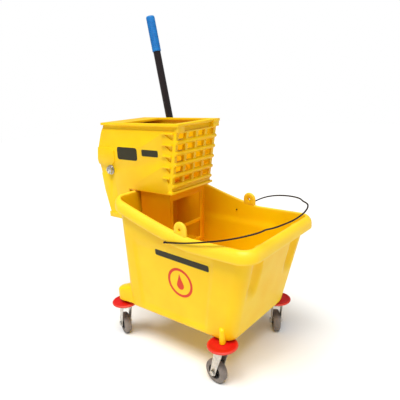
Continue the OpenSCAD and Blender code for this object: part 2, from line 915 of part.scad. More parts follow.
module lever_bolts() color(zinc)
  for (d = [14, 38])
    on_tube(d)
      rotate([0, 90, 0]) {
        cylinder(r = 2.5, h = 2 * tube_r + 8, center = true);
        translate([0, 0, tube_r + 3])
          cylinder(r = 4.5, h = 3);
        translate([0, 0, -tube_r - 7])
          cylinder(r = 4.6, h = 4, $fn = 6);
      }

// ---------------------------------------------------------------- casters
// Place and heading of each caster: the heading points from the swivel to the wheel
FRONT_RIGHT = [front_x, -front_y, 172];
FRONT_LEFT = [front_x, front_y, 128];
REAR_RIGHT = [-rear_x, -rear_y, 155];
REAR_LEFT = [-rear_x, rear_y, 143];

bumper_low = bumper_top - bumper_t;
crown_t = 4;
crown_z = bumper_low - 8;
fork_gap = 1.5;
fork_t = 2.5;
hub_w = tyre_w - 1;
fork_in = tyre_w / 2 + fork_gap;

module at_caster(c) {
  translate([c[0], c[1], 0])
    rotate([0, 0, c[2]])
      children();
}

module bumper(c) color(red)
  at_caster(c)
    translate([0, 0, bumper_low])
      rotate_extrude()
        polygon([
          [stem_r, 0], [bumper_r - 3, 0], [bumper_r - 0.8, 1], [bumper_r, bumper_t * 0.4],
          [bumper_r - 0.8, bumper_t - 2], [bumper_r - 3, bumper_t], [stem_r, bumper_t]
        ]);

module stem(c) color(zinc)
  at_caster(c) {
    translate([0, 0, crown_z - crown_t - 4])
      cylinder(r = stem_r, h = stem_top - crown_z + crown_t + 4 - 2);
    translate([0, 0, crown_z + slide_gap])
      cylinder(r = 18, h = bumper_low - crown_z - slide_gap);
    translate([0, 0, crown_z - crown_t - 3.5 - slide_gap])
      cylinder(r = stem_r + 3.5, h = 3.5);
  }

module fork(c) color(zinc)
  at_caster(c)
    difference() {
      union() {
        translate([0, 0, crown_z - crown_t])
          cylinder(r = 19, h = crown_t);
        for (s = [-1, 1]) {
          translate([0, s * (fork_in + fork_t / 2) + fork_t / 2, 0])
            rotate([90, 0, 0])
              linear_extrude(height = fork_t)
                polygon([
                  [-13, crown_z], [15, crown_z], [trail + 9, wheel_r], [trail + 6, wheel_r - 7],
                  [trail - 6, wheel_r - 7], [trail - 9, wheel_r]
                ]);
          translate([trail, s * (fork_in + fork_t / 2) + fork_t / 2, wheel_r])
            rotate([90, 0, 0])
              cylinder(r = 9, h = fork_t);
        }
      }
      translate([0, 0, crown_z - crown_t - 1])
        cylinder(r = stem_r + run_gap, h = crown_t + 2);
      translate([trail, -40, wheel_r])
        rotate([-90, 0, 0])
          cylinder(r = axle_r, h = 80);
    }

module axle(c) color(zinc)
  at_caster(c)
    translate([trail, 0, wheel_r])
      rotate([90, 0, 0]) {
        cylinder(r = axle_r, h = 2 * (fork_in + fork_t) + 8, center = true);
        translate([0, 0, fork_in + fork_t])
          cylinder(r = axle_r + 3, h = 3.5);
        translate([0, 0, -fork_in - fork_t - 4])
          cylinder(r = axle_r + 3.5, h = 4, $fn = 6);
      }

module hub(c) color(black)
  at_caster(c)
    translate([trail, 0, wheel_r])
      rotate([90, 0, 0])
        rotate_extrude()
          polygon([
            [axle_r + run_gap, -hub_w / 2 - 0.5], [axle_r + 4, -hub_w / 2 - 0.5],
            [axle_r + 5, -hub_w / 2 + 3],
            [hub_r - 4, -hub_w / 2 + 3], [hub_r - 2, -hub_w / 2], [hub_r, -hub_w / 2],
            [hub_r, hub_w / 2], [hub_r - 2, hub_w / 2], [hub_r - 4, hub_w / 2 - 3],
            [axle_r + 5, hub_w / 2 - 3], [axle_r + 4, hub_w / 2 + 0.5], [axle_r + run_gap, hub_w / 2 + 0.5]
          ]);

module tyre(c) color(grey)
  at_caster(c)
    translate([trail, 0, wheel_r])
      rotate([90, 0, 0])
        rotate_extrude()
          polygon([
            [hub_r, -tyre_w / 2], [wheel_r - 4, -tyre_w / 2],
            [wheel_r - 1.2, -tyre_w / 2 + 2.5], [wheel_r, -tyre_w / 2 + 6],
            [wheel_r, tyre_w / 2 - 6], [wheel_r - 1.2, tyre_w / 2 - 2.5],
            [wheel_r - 4, tyre_w / 2], [hub_r, tyre_w / 2]
          ]);

bucket();
bail_wire();
right_side_panel();
left_side_panel();
mouth_flange();
front_grate();
rear_cover();
hopper();
tie_rod();
tie_rod_screws();
right_bush();
left_bush();
press_plate();
press_plate_pin();
cross_shaft();
right_crank();
left_crank();
push_bar();
return_spring();
shaft_washer();
shaft_nut();
lever_arm();
lever_tube();
lever_grip();
lever_cap();
lever_bolts();
bumper(FRONT_RIGHT);  // front_right_bumper
stem(FRONT_RIGHT);  // front_right_stem
fork(FRONT_RIGHT);  // front_right_fork
axle(FRONT_RIGHT);  // front_right_axle
hub(FRONT_RIGHT);  // front_right_hub
tyre(FRONT_RIGHT);  // front_right_tyre
bumper(FRONT_LEFT);  // front_left_bumper
stem(FRONT_LEFT);  // front_left_stem
fork(FRONT_LEFT);  // front_left_fork
axle(FRONT_LEFT);  // front_left_axle
hub(FRONT_LEFT);  // front_left_hub
tyre(FRONT_LEFT);  // front_left_tyre
bumper(REAR_RIGHT);  // rear_right_bumper
stem(REAR_RIGHT);  // rear_right_stem
fork(REAR_RIGHT);  // rear_right_fork
axle(REAR_RIGHT);  // rear_right_axle
hub(REAR_RIGHT);  // rear_right_hub
tyre(REAR_RIGHT);  // rear_right_tyre
bumper(REAR_LEFT);  // rear_left_bumper
stem(REAR_LEFT);  // rear_left_stem
fork(REAR_LEFT);  // rear_left_fork
axle(REAR_LEFT);  // rear_left_axle
hub(REAR_LEFT);  // rear_left_hub
tyre(REAR_LEFT);  // rear_left_tyre
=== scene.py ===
"""Rolling mop bucket with a lift-off side-press wringer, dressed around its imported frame.

Lengths in the classes are millimetres, as a maker would write them; meshes are made in metres.
"""
import logging
import math
from dataclasses import dataclass
from enum import Enum
from typing import Callable, Iterable, Sequence

import bmesh
import bpy
from mathutils import Matrix, Vector


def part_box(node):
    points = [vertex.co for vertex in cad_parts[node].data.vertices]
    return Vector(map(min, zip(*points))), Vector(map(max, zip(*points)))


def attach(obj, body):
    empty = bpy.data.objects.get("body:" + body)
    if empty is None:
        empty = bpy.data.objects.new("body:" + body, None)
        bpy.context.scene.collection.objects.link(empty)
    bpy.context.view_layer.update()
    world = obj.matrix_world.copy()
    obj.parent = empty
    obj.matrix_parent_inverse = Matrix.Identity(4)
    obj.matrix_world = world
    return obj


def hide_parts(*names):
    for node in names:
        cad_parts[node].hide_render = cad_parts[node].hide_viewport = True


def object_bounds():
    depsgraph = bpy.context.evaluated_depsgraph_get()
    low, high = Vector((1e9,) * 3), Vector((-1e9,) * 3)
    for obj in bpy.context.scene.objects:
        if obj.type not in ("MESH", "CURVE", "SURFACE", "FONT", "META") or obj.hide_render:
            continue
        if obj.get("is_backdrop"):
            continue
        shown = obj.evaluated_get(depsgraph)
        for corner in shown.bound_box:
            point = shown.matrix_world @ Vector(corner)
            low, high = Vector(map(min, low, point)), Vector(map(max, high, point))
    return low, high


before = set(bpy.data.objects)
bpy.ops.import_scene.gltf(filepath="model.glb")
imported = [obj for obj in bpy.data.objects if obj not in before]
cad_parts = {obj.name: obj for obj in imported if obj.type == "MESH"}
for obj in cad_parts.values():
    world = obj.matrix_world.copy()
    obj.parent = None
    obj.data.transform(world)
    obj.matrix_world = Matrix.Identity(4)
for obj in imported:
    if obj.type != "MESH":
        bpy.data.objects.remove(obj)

LOG = logging.getLogger("mop_bucket")
CAD_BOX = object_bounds()
MM = 0.001
CORNER_DEG = 32.0  # edges that bend more than this are rounded
Point = tuple[float, float, float]
Pair = tuple[float, float]
Profile = Sequence[Pair]


# ---------------------------------------------------------------- finishes
class Slot(Enum):
    """The record's material slots."""

    YELLOW = "yellow_polypropylene"
    RED = "red_bumper"
    ZINC = "zinc_plate"
    BLACK_ENAMEL = "black_enamel"
    BAIL = "bail_enamel"
    BLACK_PLASTIC = "black_plastic"
    BLUE = "blue_vinyl"
    RUBBER = "grey_rubber"


def linear(code: str) -> tuple[float, float, float, float]:
    """Turns an sRGB hex code into a linear colour.

    Args:
        code: Six hex digits with a leading #.

    Returns:
        Red, green, blue and alpha, linear.
    """
    parts = [int(code[i : i + 2], 16) / 255 for i in (1, 3, 5)]
    red, green, blue = (p / 12.92 if p <= 0.04045 else ((p + 0.055) / 1.055) ** 2.4 for p in parts)
    return red, green, blue, 1.0


def add(
    tree: bpy.types.NodeTree, kind: str, inputs: dict | None = None, **settings: object
) -> bpy.types.Node:
    """Adds a node with its settings and links.

    Args:
        tree: The tree that gets the node.
        kind: The node's type name.
        inputs: Input names or numbers, each with a value or with the socket that feeds it.
        settings: The node's own properties.

    Returns:
        The new node.
    """
    made = tree.nodes.new(kind)
    for name, value in settings.items():
        setattr(made, name, value)
    for key, value in (inputs or {}).items():
        if isinstance(value, bpy.types.NodeSocket):
            tree.links.new(value, made.inputs[key])
        else:
            made.inputs[key].default_value = value
    return made


@dataclass(frozen=True)
class Finish:
    """One surface finish: a base colour that drifts to a second one, a grain and its gloss.

    Attributes:
        name: What the material is.
        colour: Main colour, sRGB hex.
        drift: Second colour of the slow colour drift, sRGB hex.
        scuff: Colour of rubbed edges, which follow the mesh's wear attribute, sRGB hex.
        drift_mm: Size of the colour patches.
        grain_mm: Size of the surface grain.
        grain_height_mm: Height of the grain.
        roughness: Lowest roughness.
        roughness_spread: How much rougher the dull patches are.
        stretch: Scale of the grain along X, Y and Z, for drawn or brushed surfaces.
        metallic: 1 for a metal.
        ior: Index of refraction of a plastic; a metal keeps the default.
        specular: Specular level of a plastic, below the usual 0.5 for a surface dulled by its grain.
        coat: Weight of a clear top layer.
        subsurface: Weight of light that passes through thin walls.
    """

    name: str
    colour: str
    drift: str
    scuff: str
    drift_mm: float
    grain_mm: float
    grain_height_mm: float
    roughness: float
    roughness_spread: float = 0.1
    stretch: Point = (1.0, 1.0, 1.0)
    metallic: float = 0.0
    ior: float = 1.5
    specular: float = 0.3
    coat: float = 0.0
    subsurface: float = 0.0

    def build(self) -> bpy.types.Material:
        """Makes the node material."""
        material = bpy.data.materials.new(self.name)
        material.use_nodes = True
        tree = material.node_tree
        tree.nodes.clear()
        place = add(tree, "ShaderNodeTexCoord").outputs["Object"]
        mapped = add(tree, "ShaderNodeMapping", {"Vector": place, "Scale": self.stretch}).outputs["Vector"]
        patches = add(tree, "ShaderNodeTexNoise", {
            "Vector": mapped, "Scale": 1 / (self.drift_mm * MM), "Detail": 3.0,
        }).outputs["Fac"]
        spread = add(tree, "ShaderNodeMapRange", {"Value": patches, "From Min": 0.35, "From Max": 0.65})
        body = add(tree, "ShaderNodeMix", data_type="RGBA")
        tree.links.new(spread.outputs["Result"], body.inputs[0])
        body.inputs[6].default_value = linear(self.colour)
        body.inputs[7].default_value = linear(self.drift)
        fine = add(tree, "ShaderNodeTexNoise", {
            "Vector": mapped, "Scale": 1 / (self.grain_mm * MM), "Detail": 4.0,
        }).outputs["Fac"]
        worn = add(tree, "ShaderNodeAttribute", attribute_name="wear").outputs["Fac"]
        broken = add(tree, "ShaderNodeMath", {0: worn, 1: fine}, operation="MULTIPLY").outputs[0]
        rubbed = add(tree, "ShaderNodeMix", data_type="RGBA")
        tree.links.new(broken, rubbed.inputs[0])
        tree.links.new(body.outputs[2], rubbed.inputs[6])
        rubbed.inputs[7].default_value = linear(self.scuff)
        dull = add(tree, "ShaderNodeMapRange", {
            "Value": patches, "From Min": 0.3, "From Max": 0.7,
            "To Min": self.roughness, "To Max": self.roughness + self.roughness_spread,
        }).outputs["Result"]
        relief = add(tree, "ShaderNodeBump", {
            "Height": fine, "Strength": 1.0, "Distance": self.grain_height_mm * MM,
        }).outputs["Normal"]
        surface = add(tree, "ShaderNodeBsdfPrincipled", {
            "Base Color": rubbed.outputs[2], "Roughness": dull, "Normal": relief, "Metallic": self.metallic,
        })
        if not self.metallic:
            surface.inputs["IOR"].default_value = self.ior
            surface.inputs["Specular IOR Level"].default_value = self.specular
        if self.coat:
            surface.inputs["Coat Weight"].default_value = self.coat
            surface.inputs["Coat Roughness"].default_value = 0.12
        if self.subsurface:
            surface.inputs["Subsurface Weight"].default_value = self.subsurface
            surface.inputs["Subsurface Radius"].default_value = (1.0, 0.55, 0.1)
            surface.inputs["Subsurface Scale"].default_value = 4 * MM
        add(tree, "ShaderNodeOutputMaterial", {"Surface": surface.outputs["BSDF"]})
        return material


# Injection-moulded polypropylene: even strong yellow, a soft gloss and a very fine spark-eroded grain.
# The true grain is 0.3 mm; it is drawn at 1.6 mm so that it still breaks up the highlights.
POLYPROPYLENE = Finish(
    "moulded_polypropylene", "#FFD200", "#FDC900", "#FFDE5A", 90, 1.6, 0.05, 0.36, ior=1.49, subsurface=0.12,
)
# The same polypropylene, painted darker and warmer on the parts that sit deep in the mouth: painted shade
# for their place in the mouth.
PAINTED_SHADE_POLYPROPYLENE = Finish(
    "moulded_polypropylene_painted_shade", "#FCBC00", "#F7AD00", "#FFD24A", 80, 1.6, 0.05, 0.4, ior=1.49,
    subsurface=0.12,
)
# Blow-moulded polyethylene discs: clear red, slightly waxy, pale where they rub along walls.
POLYETHYLENE = Finish(
    "red_polyethylene", "#D0140F", "#C00F0C", "#E86450", 40, 1.2, 0.06, 0.38, 0.12, ior=1.51,
    subsurface=0.06,
)
# Bright zinc plate on pressed steel: cool grey metal with faint cloudy patches.
ZINC = Finish(
    "bright_zinc_plate", "#D2CEC6", "#B9B6B0", "#F2F0EA", 9, 0.8, 0.02, 0.24, 0.16, metallic=1.0,
)
# Gloss enamel on steel tube: near black with a brown cast and a smooth thick film.
ENAMEL = Finish(
    "black_gloss_enamel", "#231619", "#1B1214", "#4A3A38", 60, 3.0, 0.05, 0.3, ior=1.52, coat=0.5,
)
# Dipped enamel on spring wire: dark brown, with a dull gloss.
WIRE_ENAMEL = Finish(
    "brown_wire_enamel", "#24120A", "#1A0C06", "#4A3020", 20, 1.0, 0.03, 0.5, 0.12, ior=1.45, coat=0.1,
)
# Glass-filled nylon: black, matt, with a coarse moulded grain.
NYLON = Finish("black_moulded_nylon", "#17120F", "#1F1915", "#3A332E", 12, 0.9, 0.06, 0.5, 0.15, ior=1.53)
# Dipped plasticised vinyl: soft blue with a slight orange-peel.
VINYL = Finish(
    "blue_dipped_vinyl", "#0F6EBC", "#147ACA", "#4CA2DA", 18, 2.0, 0.15, 0.42, 0.12, ior=1.54,
    subsurface=0.05,
)
# Moulded thermoplastic rubber: warm grey, matt, with dust held in its fine grain.
RUBBER = Finish("grey_moulded_rubber", "#8E847C", "#7F766F", "#A59C94", 14, 0.9, 0.08, 0.62, 0.18, ior=1.5)
# Screen-printed ink: flat colour, a little less glossy than the plastic under it.
DARK_INK = Finish("dark_screen_ink", "#2E2A12", "#35301A", "#5A5438", 20, 0.7, 0.01, 0.45)
RED_INK = Finish("red_screen_ink", "#DB3A1C", "#E0421F", "#F08060", 20, 0.7, 0.01, 0.45)

SLOT_FINISH: dict[Slot, Finish] = {
    Slot.YELLOW: POLYPROPYLENE,
    Slot.RED: POLYETHYLENE,
    Slot.ZINC: ZINC,
    Slot.BLACK_ENAMEL: ENAMEL,
    Slot.BAIL: WIRE_ENAMEL,
    Slot.BLACK_PLASTIC: NYLON,
    Slot.BLUE: VINYL,
    Slot.RUBBER: RUBBER,
}


class Palette:
    """Builds each finish once and hands it out."""

    def __init__(self) -> None:
        """Starts with nothing built."""
        self._made: dict[str, bpy.types.Material] = {}

    def get(self, finish: Finish) -> bpy.types.Material:
        """Returns the finish's material, made at its first use."""
        if finish.name not in self._made:
            self._made[finish.name] = finish.build()
        return self._made[finish.name]


PALETTE = Palette()


# ---------------------------------------------------------------- mesh tools
def smoothstep(low: float, high: float, value: float) -> float:
    """Returns 0 below low, 1 above high and an eased value between."""
    t = min(1.0, max(0.0, (value - low) / (high - low)))
    return t * t * (3 - 2 * t)


def lerp(a: float, b: float, t: float) -> float:
    """Returns the value t of the way from a to b."""
    return a + (b - a) * t


def circle(radius: float, steps: int) -> list[Pair]:
    """Returns the points of a circle about the origin."""
    turns = [2 * math.pi * i / steps for i in range(steps)]
    return [(radius * math.cos(a), radius * math.sin(a)) for a in turns]


class Body:
    """Collects points in millimetres and faces, and turns them into an object."""

    def __init__(self) -> None:
        """Starts empty."""
        self.points: list[Point] = []
        self.faces: list[tuple[int, ...]] = []
        self.wear: list[float] = []

    def ring(self, points: Iterable[Point], wear: float = 0.0) -> list[int]:
        """Adds points and returns their numbers."""
        start = len(self.points)
        added = [tuple(p) for p in points]
        self.points += added
        self.wear += [wear] * len(added)
        return list(range(start, start + len(added)))

    def bridge(self, a: Sequence[int], b: Sequence[int]) -> None:
        """Joins two closed rings of the same length with quads."""
        n = len(a)
        for i in range(n):
            j = (i + 1) % n
            self.faces.append((a[i], a[j], b[j], b[i]))

    def fan(self, a: Sequence[int], middle: Point, flip: bool = False) -> None:
        """Closes a ring onto a middle point."""
        (m,) = self.ring([middle])
        n = len(a)
        for i in range(n):
            j = (i + 1) % n
            self.faces.append((a[j], a[i], m) if not flip else (a[i], a[j], m))

    def loft(self, rings: Sequence[Sequence[Point]], wear: Sequence[float] | None = None) -> None:
        """Skins a row of rings into a body, closed at both ends onto the middle of the ring.

        Args:
            rings: Rings with the same number of points, each running the same way round.
            wear: Rubbed-edge weight of each ring.
        """
        numbers = [self.ring(r, wear[k] if wear else 0.0) for k, r in enumerate(rings)]
        for a, b in zip(numbers, numbers[1:]):
            self.bridge(a, b)
        for end, flip in ((0, False), (-1, True)):
            ring = rings[end]
            middle = tuple(sum(p[k] for p in ring) / len(ring) for k in range(3))
            self.fan(numbers[end], middle, flip)

    def lathe(self, profile: Profile, steps: int = 64, wear: Sequence[float] | None = None) -> None:
        """Turns an open profile of (radius, height) about Z; both ends close onto the axis."""
        self.loft([[(x, y, height) for x, y in circle(radius, steps)] for radius, height in profile], wear)

    def tube(self, profile: Profile, steps: int = 64, wear: Sequence[float] | None = None) -> None:
        """Turns a closed profile of (radius, height) about Z, as a ring with a hole."""
        rings = [[(x, y, height) for x, y in circle(radius, steps)] for radius, height in profile]
        numbers = [self.ring(r, wear[k] if wear else 0.0) for k, r in enumerate(rings)]
        for a, b in zip(numbers, numbers[1:] + numbers[:1]):
            self.bridge(a, b)

    def build(self, name: str, place: Matrix | None = None, sharp: float = 38.0) -> bpy.types.Object:
        """Makes the object, with outward faces and smooth shading.

        Args:
            name: The object's name.
            place: Where the body goes, in metres, written into the mesh.
            sharp: Edges that bend more than this, in degrees, stay crisp.

        Returns:
            The object, at the origin.
        """
        mesh = bpy.data.meshes.new(name)
        mesh.from_pydata([tuple(c * MM for c in p) for p in self.points], [], self.faces)
        weight = mesh.attributes.new("wear", "FLOAT", "POINT")
        weight.data.foreach_set("value", self.wear)
        work = bmesh.new()
        work.from_mesh(mesh)
        bmesh.ops.remove_doubles(work, verts=work.verts, dist=0.002 * MM)
        bmesh.ops.recalc_face_normals(work, faces=work.faces)
        work.to_mesh(mesh)
        work.free()
        if place is not None:
            mesh.transform(place)
        return finish_mesh(mesh, name, sharp)


def finish_mesh(mesh: bpy.types.Mesh, name: str, sharp: float) -> bpy.types.Object:
    """Shades a mesh smooth with crisp edges and links it as an object."""
    mesh.shade_smooth()
    mesh.set_sharp_from_angle(angle=math.radians(sharp))
    made = bpy.data.objects.new(name, mesh)
    bpy.context.scene.collection.objects.link(made)
    return made


def settle(piece: bpy.types.Object) -> bpy.types.Object:
    """Turns a piece with modifiers into a plain mesh at the origin."""
    bpy.context.view_layer.update()
    graph = bpy.context.evaluated_depsgraph_get()
    mesh = bpy.data.meshes.new_from_object(
        piece.evaluated_get(graph), preserve_all_data_layers=True, depsgraph=graph
    )
    piece.modifiers.clear()
    piece.data = mesh
    return piece


def soften(piece: bpy.types.Object, edge_mm: float, segments: int) -> bpy.types.Object:
    """Rounds a piece's edges and makes it a plain mesh."""
    bevel = piece.modifiers.new("rounding", "BEVEL")
    bevel.width = edge_mm * MM
    bevel.segments = segments
    bevel.limit_method = "ANGLE"
    bevel.angle_limit = math.radians(CORNER_DEG)
    bevel.use_clamp_overlap = True
    bevel.harden_normals = False
    settle(piece)
    piece.data.shade_smooth()
    piece.data.set_sharp_from_angle(angle=math.radians(50))
    return piece


def copy_of(node: str, name: str, edge_mm: float, segments: int = 2) -> bpy.types.Object:
    """Makes a finished copy of a frame node: merged, with rounded edges.

    Args:
        node: The frame node.
        name: The new piece's name.
        edge_mm: Edge radius of the moulding or pressing.
        segments: Steps across a rounded edge.

    Returns:
        The new piece.
    """
    work = bmesh.new()
    work.from_mesh(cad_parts[node].data)
    bmesh.ops.remove_doubles(work, verts=work.verts, dist=0.01 * MM)
    bmesh.ops.dissolve_limit(work, angle_limit=math.radians(0.6), verts=work.verts, edges=work.edges)
    mesh = bpy.data.meshes.new(name)
    work.to_mesh(mesh)
    work.free()
    piece = finish_mesh(mesh, name, CORNER_DEG)
    return soften(piece, edge_mm, segments) if edge_mm else piece


def place(piece: bpy.types.Object, body: str, slot: Slot, *nodes: str, finish: Finish | None = None) -> None:
    """Dresses a piece, joins it to its body and reports it.

    Args:
        piece: The finished piece.
        body: The body that it moves with.
        slot: The record's slot for its finish.
        nodes: Frame nodes that it stands for.
        finish: Its finish, where that isn't the slot's own.
    """
    piece.data.materials.clear()
    piece.data.materials.append(PALETTE.get(finish or SLOT_FINISH[slot]))
    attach(piece, body)
    if nodes:
        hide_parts(*nodes)
    LOG.info("%s on %s, %d faces", piece.name, body, len(piece.data.polygons))


# ---------------------------------------------------------------- repeated shapes
class Tree:
    """A geometry tree with named inputs that ends in one plain mesh with its material."""

    def __init__(self, name: str) -> None:
        """Makes the empty tree with its geometry sockets."""
        self.group = bpy.data.node_groups.new(name, "GeometryNodeTree")
        self.sockets: dict[str, str] = {}
        self.group.interface.new_socket(name="Geometry", in_out="INPUT", socket_type="NodeSocketGeometry")
        self.group.interface.new_socket(name="Geometry", in_out="OUTPUT", socket_type="NodeSocketGeometry")
        self.source = self.group.nodes.new("NodeGroupInput")

    def input(self, name: str, kind: str) -> bpy.types.NodeSocket:
        """Adds a named input and returns its socket inside the tree."""
        item = self.group.interface.new_socket(name=name, in_out="INPUT", socket_type=kind)
        self.sockets[name] = item.identifier
        return self.source.outputs[name]

    def close(self, geometry: bpy.types.NodeSocket) -> None:
        """Realizes the instances, sets the material and feeds the output."""
        material = self.input("Material", "NodeSocketMaterial")
        real = add(self.group, "GeometryNodeRealizeInstances", {"Geometry": geometry}).outputs["Geometry"]
        dressed = add(self.group, "GeometryNodeSetMaterial", {"Geometry": real, "Material": material})
        add(self.group, "NodeGroupOutput", {"Geometry": dressed.outputs["Geometry"]})

    def make(self, name: str, values: dict[str, object], finish: Finish, where: Matrix) -> bpy.types.Object:
        """Runs the tree and returns its result as a plain mesh.

        Args:
            name: The piece's name.
            values: A value for each named input.
            finish: The finish of the piece.
            where: Where the piece goes, in metres.

        Returns:
            The piece, at the origin.
        """
        piece = bpy.data.objects.new(name, bpy.data.meshes.new(name))
        bpy.context.scene.collection.objects.link(piece)
        modifier = piece.modifiers.new("shape", "NODES")
        modifier.node_group = self.group
        for key, value in {**values, "Material": PALETTE.get(finish)}.items():
            modifier[self.sockets[key]] = value
        settle(piece)
        piece.data.transform(where)
        work = bmesh.new()
        work.from_mesh(piece.data)
        bmesh.ops.recalc_face_normals(work, faces=work.faces)
        work.to_mesh(piece.data)
        work.free()
        piece.data.shade_smooth()
        piece.data.set_sharp_from_angle(angle=math.radians(40))
        return piece


def spoke_tree() -> Tree:
    """Flat ribs set round a hub."""
    tree = Tree("ribs_round_a_hub")
    count = tree.input("Count", "NodeSocketInt")
    middle = tree.input("Middle radius", "NodeSocketFloat")
    size = tree.input("Rib size", "NodeSocketVector")
    g = tree.group
    points = add(g, "GeometryNodeMeshCircle", {"Vertices": count, "Radius": middle}).outputs["Mesh"]
    rib = add(g, "GeometryNodeMeshCube", {"Size": size}).outputs["Mesh"]
    number = add(g, "GeometryNodeInputIndex").outputs["Index"]
    step = add(g, "ShaderNodeMath", {0: 2 * math.pi, 1: count}, operation="DIVIDE").outputs[0]
    angle = add(g, "ShaderNodeMath", {0: number, 1: step}, operation="MULTIPLY").outputs[0]
    turn = add(g, "ShaderNodeCombineXYZ", {"Z": angle}).outputs["Vector"]
    rotation = add(g, "FunctionNodeEulerToRotation", {"Euler": turn}).outputs["Rotation"]
    ribs = add(g, "GeometryNodeInstanceOnPoints", {"Points": points, "Instance": rib, "Rotation": rotation})
    tree.close(ribs.outputs["Instances"])
    return tree


def ridge_tree() -> Tree:
    """Round ridges set along a grip."""
    tree = Tree("ridges_along_a_grip")
    count = tree.input("Count", "NodeSocketInt")
    pitch = tree.input("Pitch", "NodeSocketFloat")
    radius = tree.input("Radius", "NodeSocketFloat")
    bead = tree.input("Bead", "NodeSocketFloat")
    g = tree.group
    offset = add(g, "ShaderNodeCombineXYZ", {"Z": pitch}).outputs["Vector"]
    line = add(g, "GeometryNodeMeshLine", {"Count": count, "Offset": offset}, mode="OFFSET")
    hoop = add(g, "GeometryNodeCurvePrimitiveCircle", {"Resolution": 40, "Radius": radius}).outputs["Curve"]
    section = add(g, "GeometryNodeCurvePrimitiveCircle", {"Resolution": 8, "Radius": bead}).outputs["Curve"]
    ring = add(g, "GeometryNodeCurveToMesh", {"Curve": hoop, "Profile Curve": section}).outputs["Mesh"]
    rings = add(g, "GeometryNodeInstanceOnPoints", {"Points": line.outputs["Mesh"], "Instance": ring})
    tree.close(rings.outputs["Instances"])
    return tree


def coil_tree() -> Tree:
    """A close-wound wire coil."""
    tree = Tree("wound_coil")
    turns = tree.input("Turns", "NodeSocketFloat")
    radius = tree.input("Radius", "NodeSocketFloat")
    height = tree.input("Height", "NodeSocketFloat")
    wire = tree.input("Wire", "NodeSocketFloat")
    g = tree.group
    line = add(g, "GeometryNodeCurveSpiral", {
        "Resolution": 32, "Rotations": turns, "Start Radius": radius, "End Radius": radius, "Height": height,
    }).outputs["Curve"]
    section = add(g, "GeometryNodeCurvePrimitiveCircle", {"Resolution": 10, "Radius": wire}).outputs["Curve"]
    coil = add(g, "GeometryNodeCurveToMesh", {"Curve": line, "Profile Curve": section, "Fill Caps": True})
    tree.close(coil.outputs["Mesh"])
    return tree


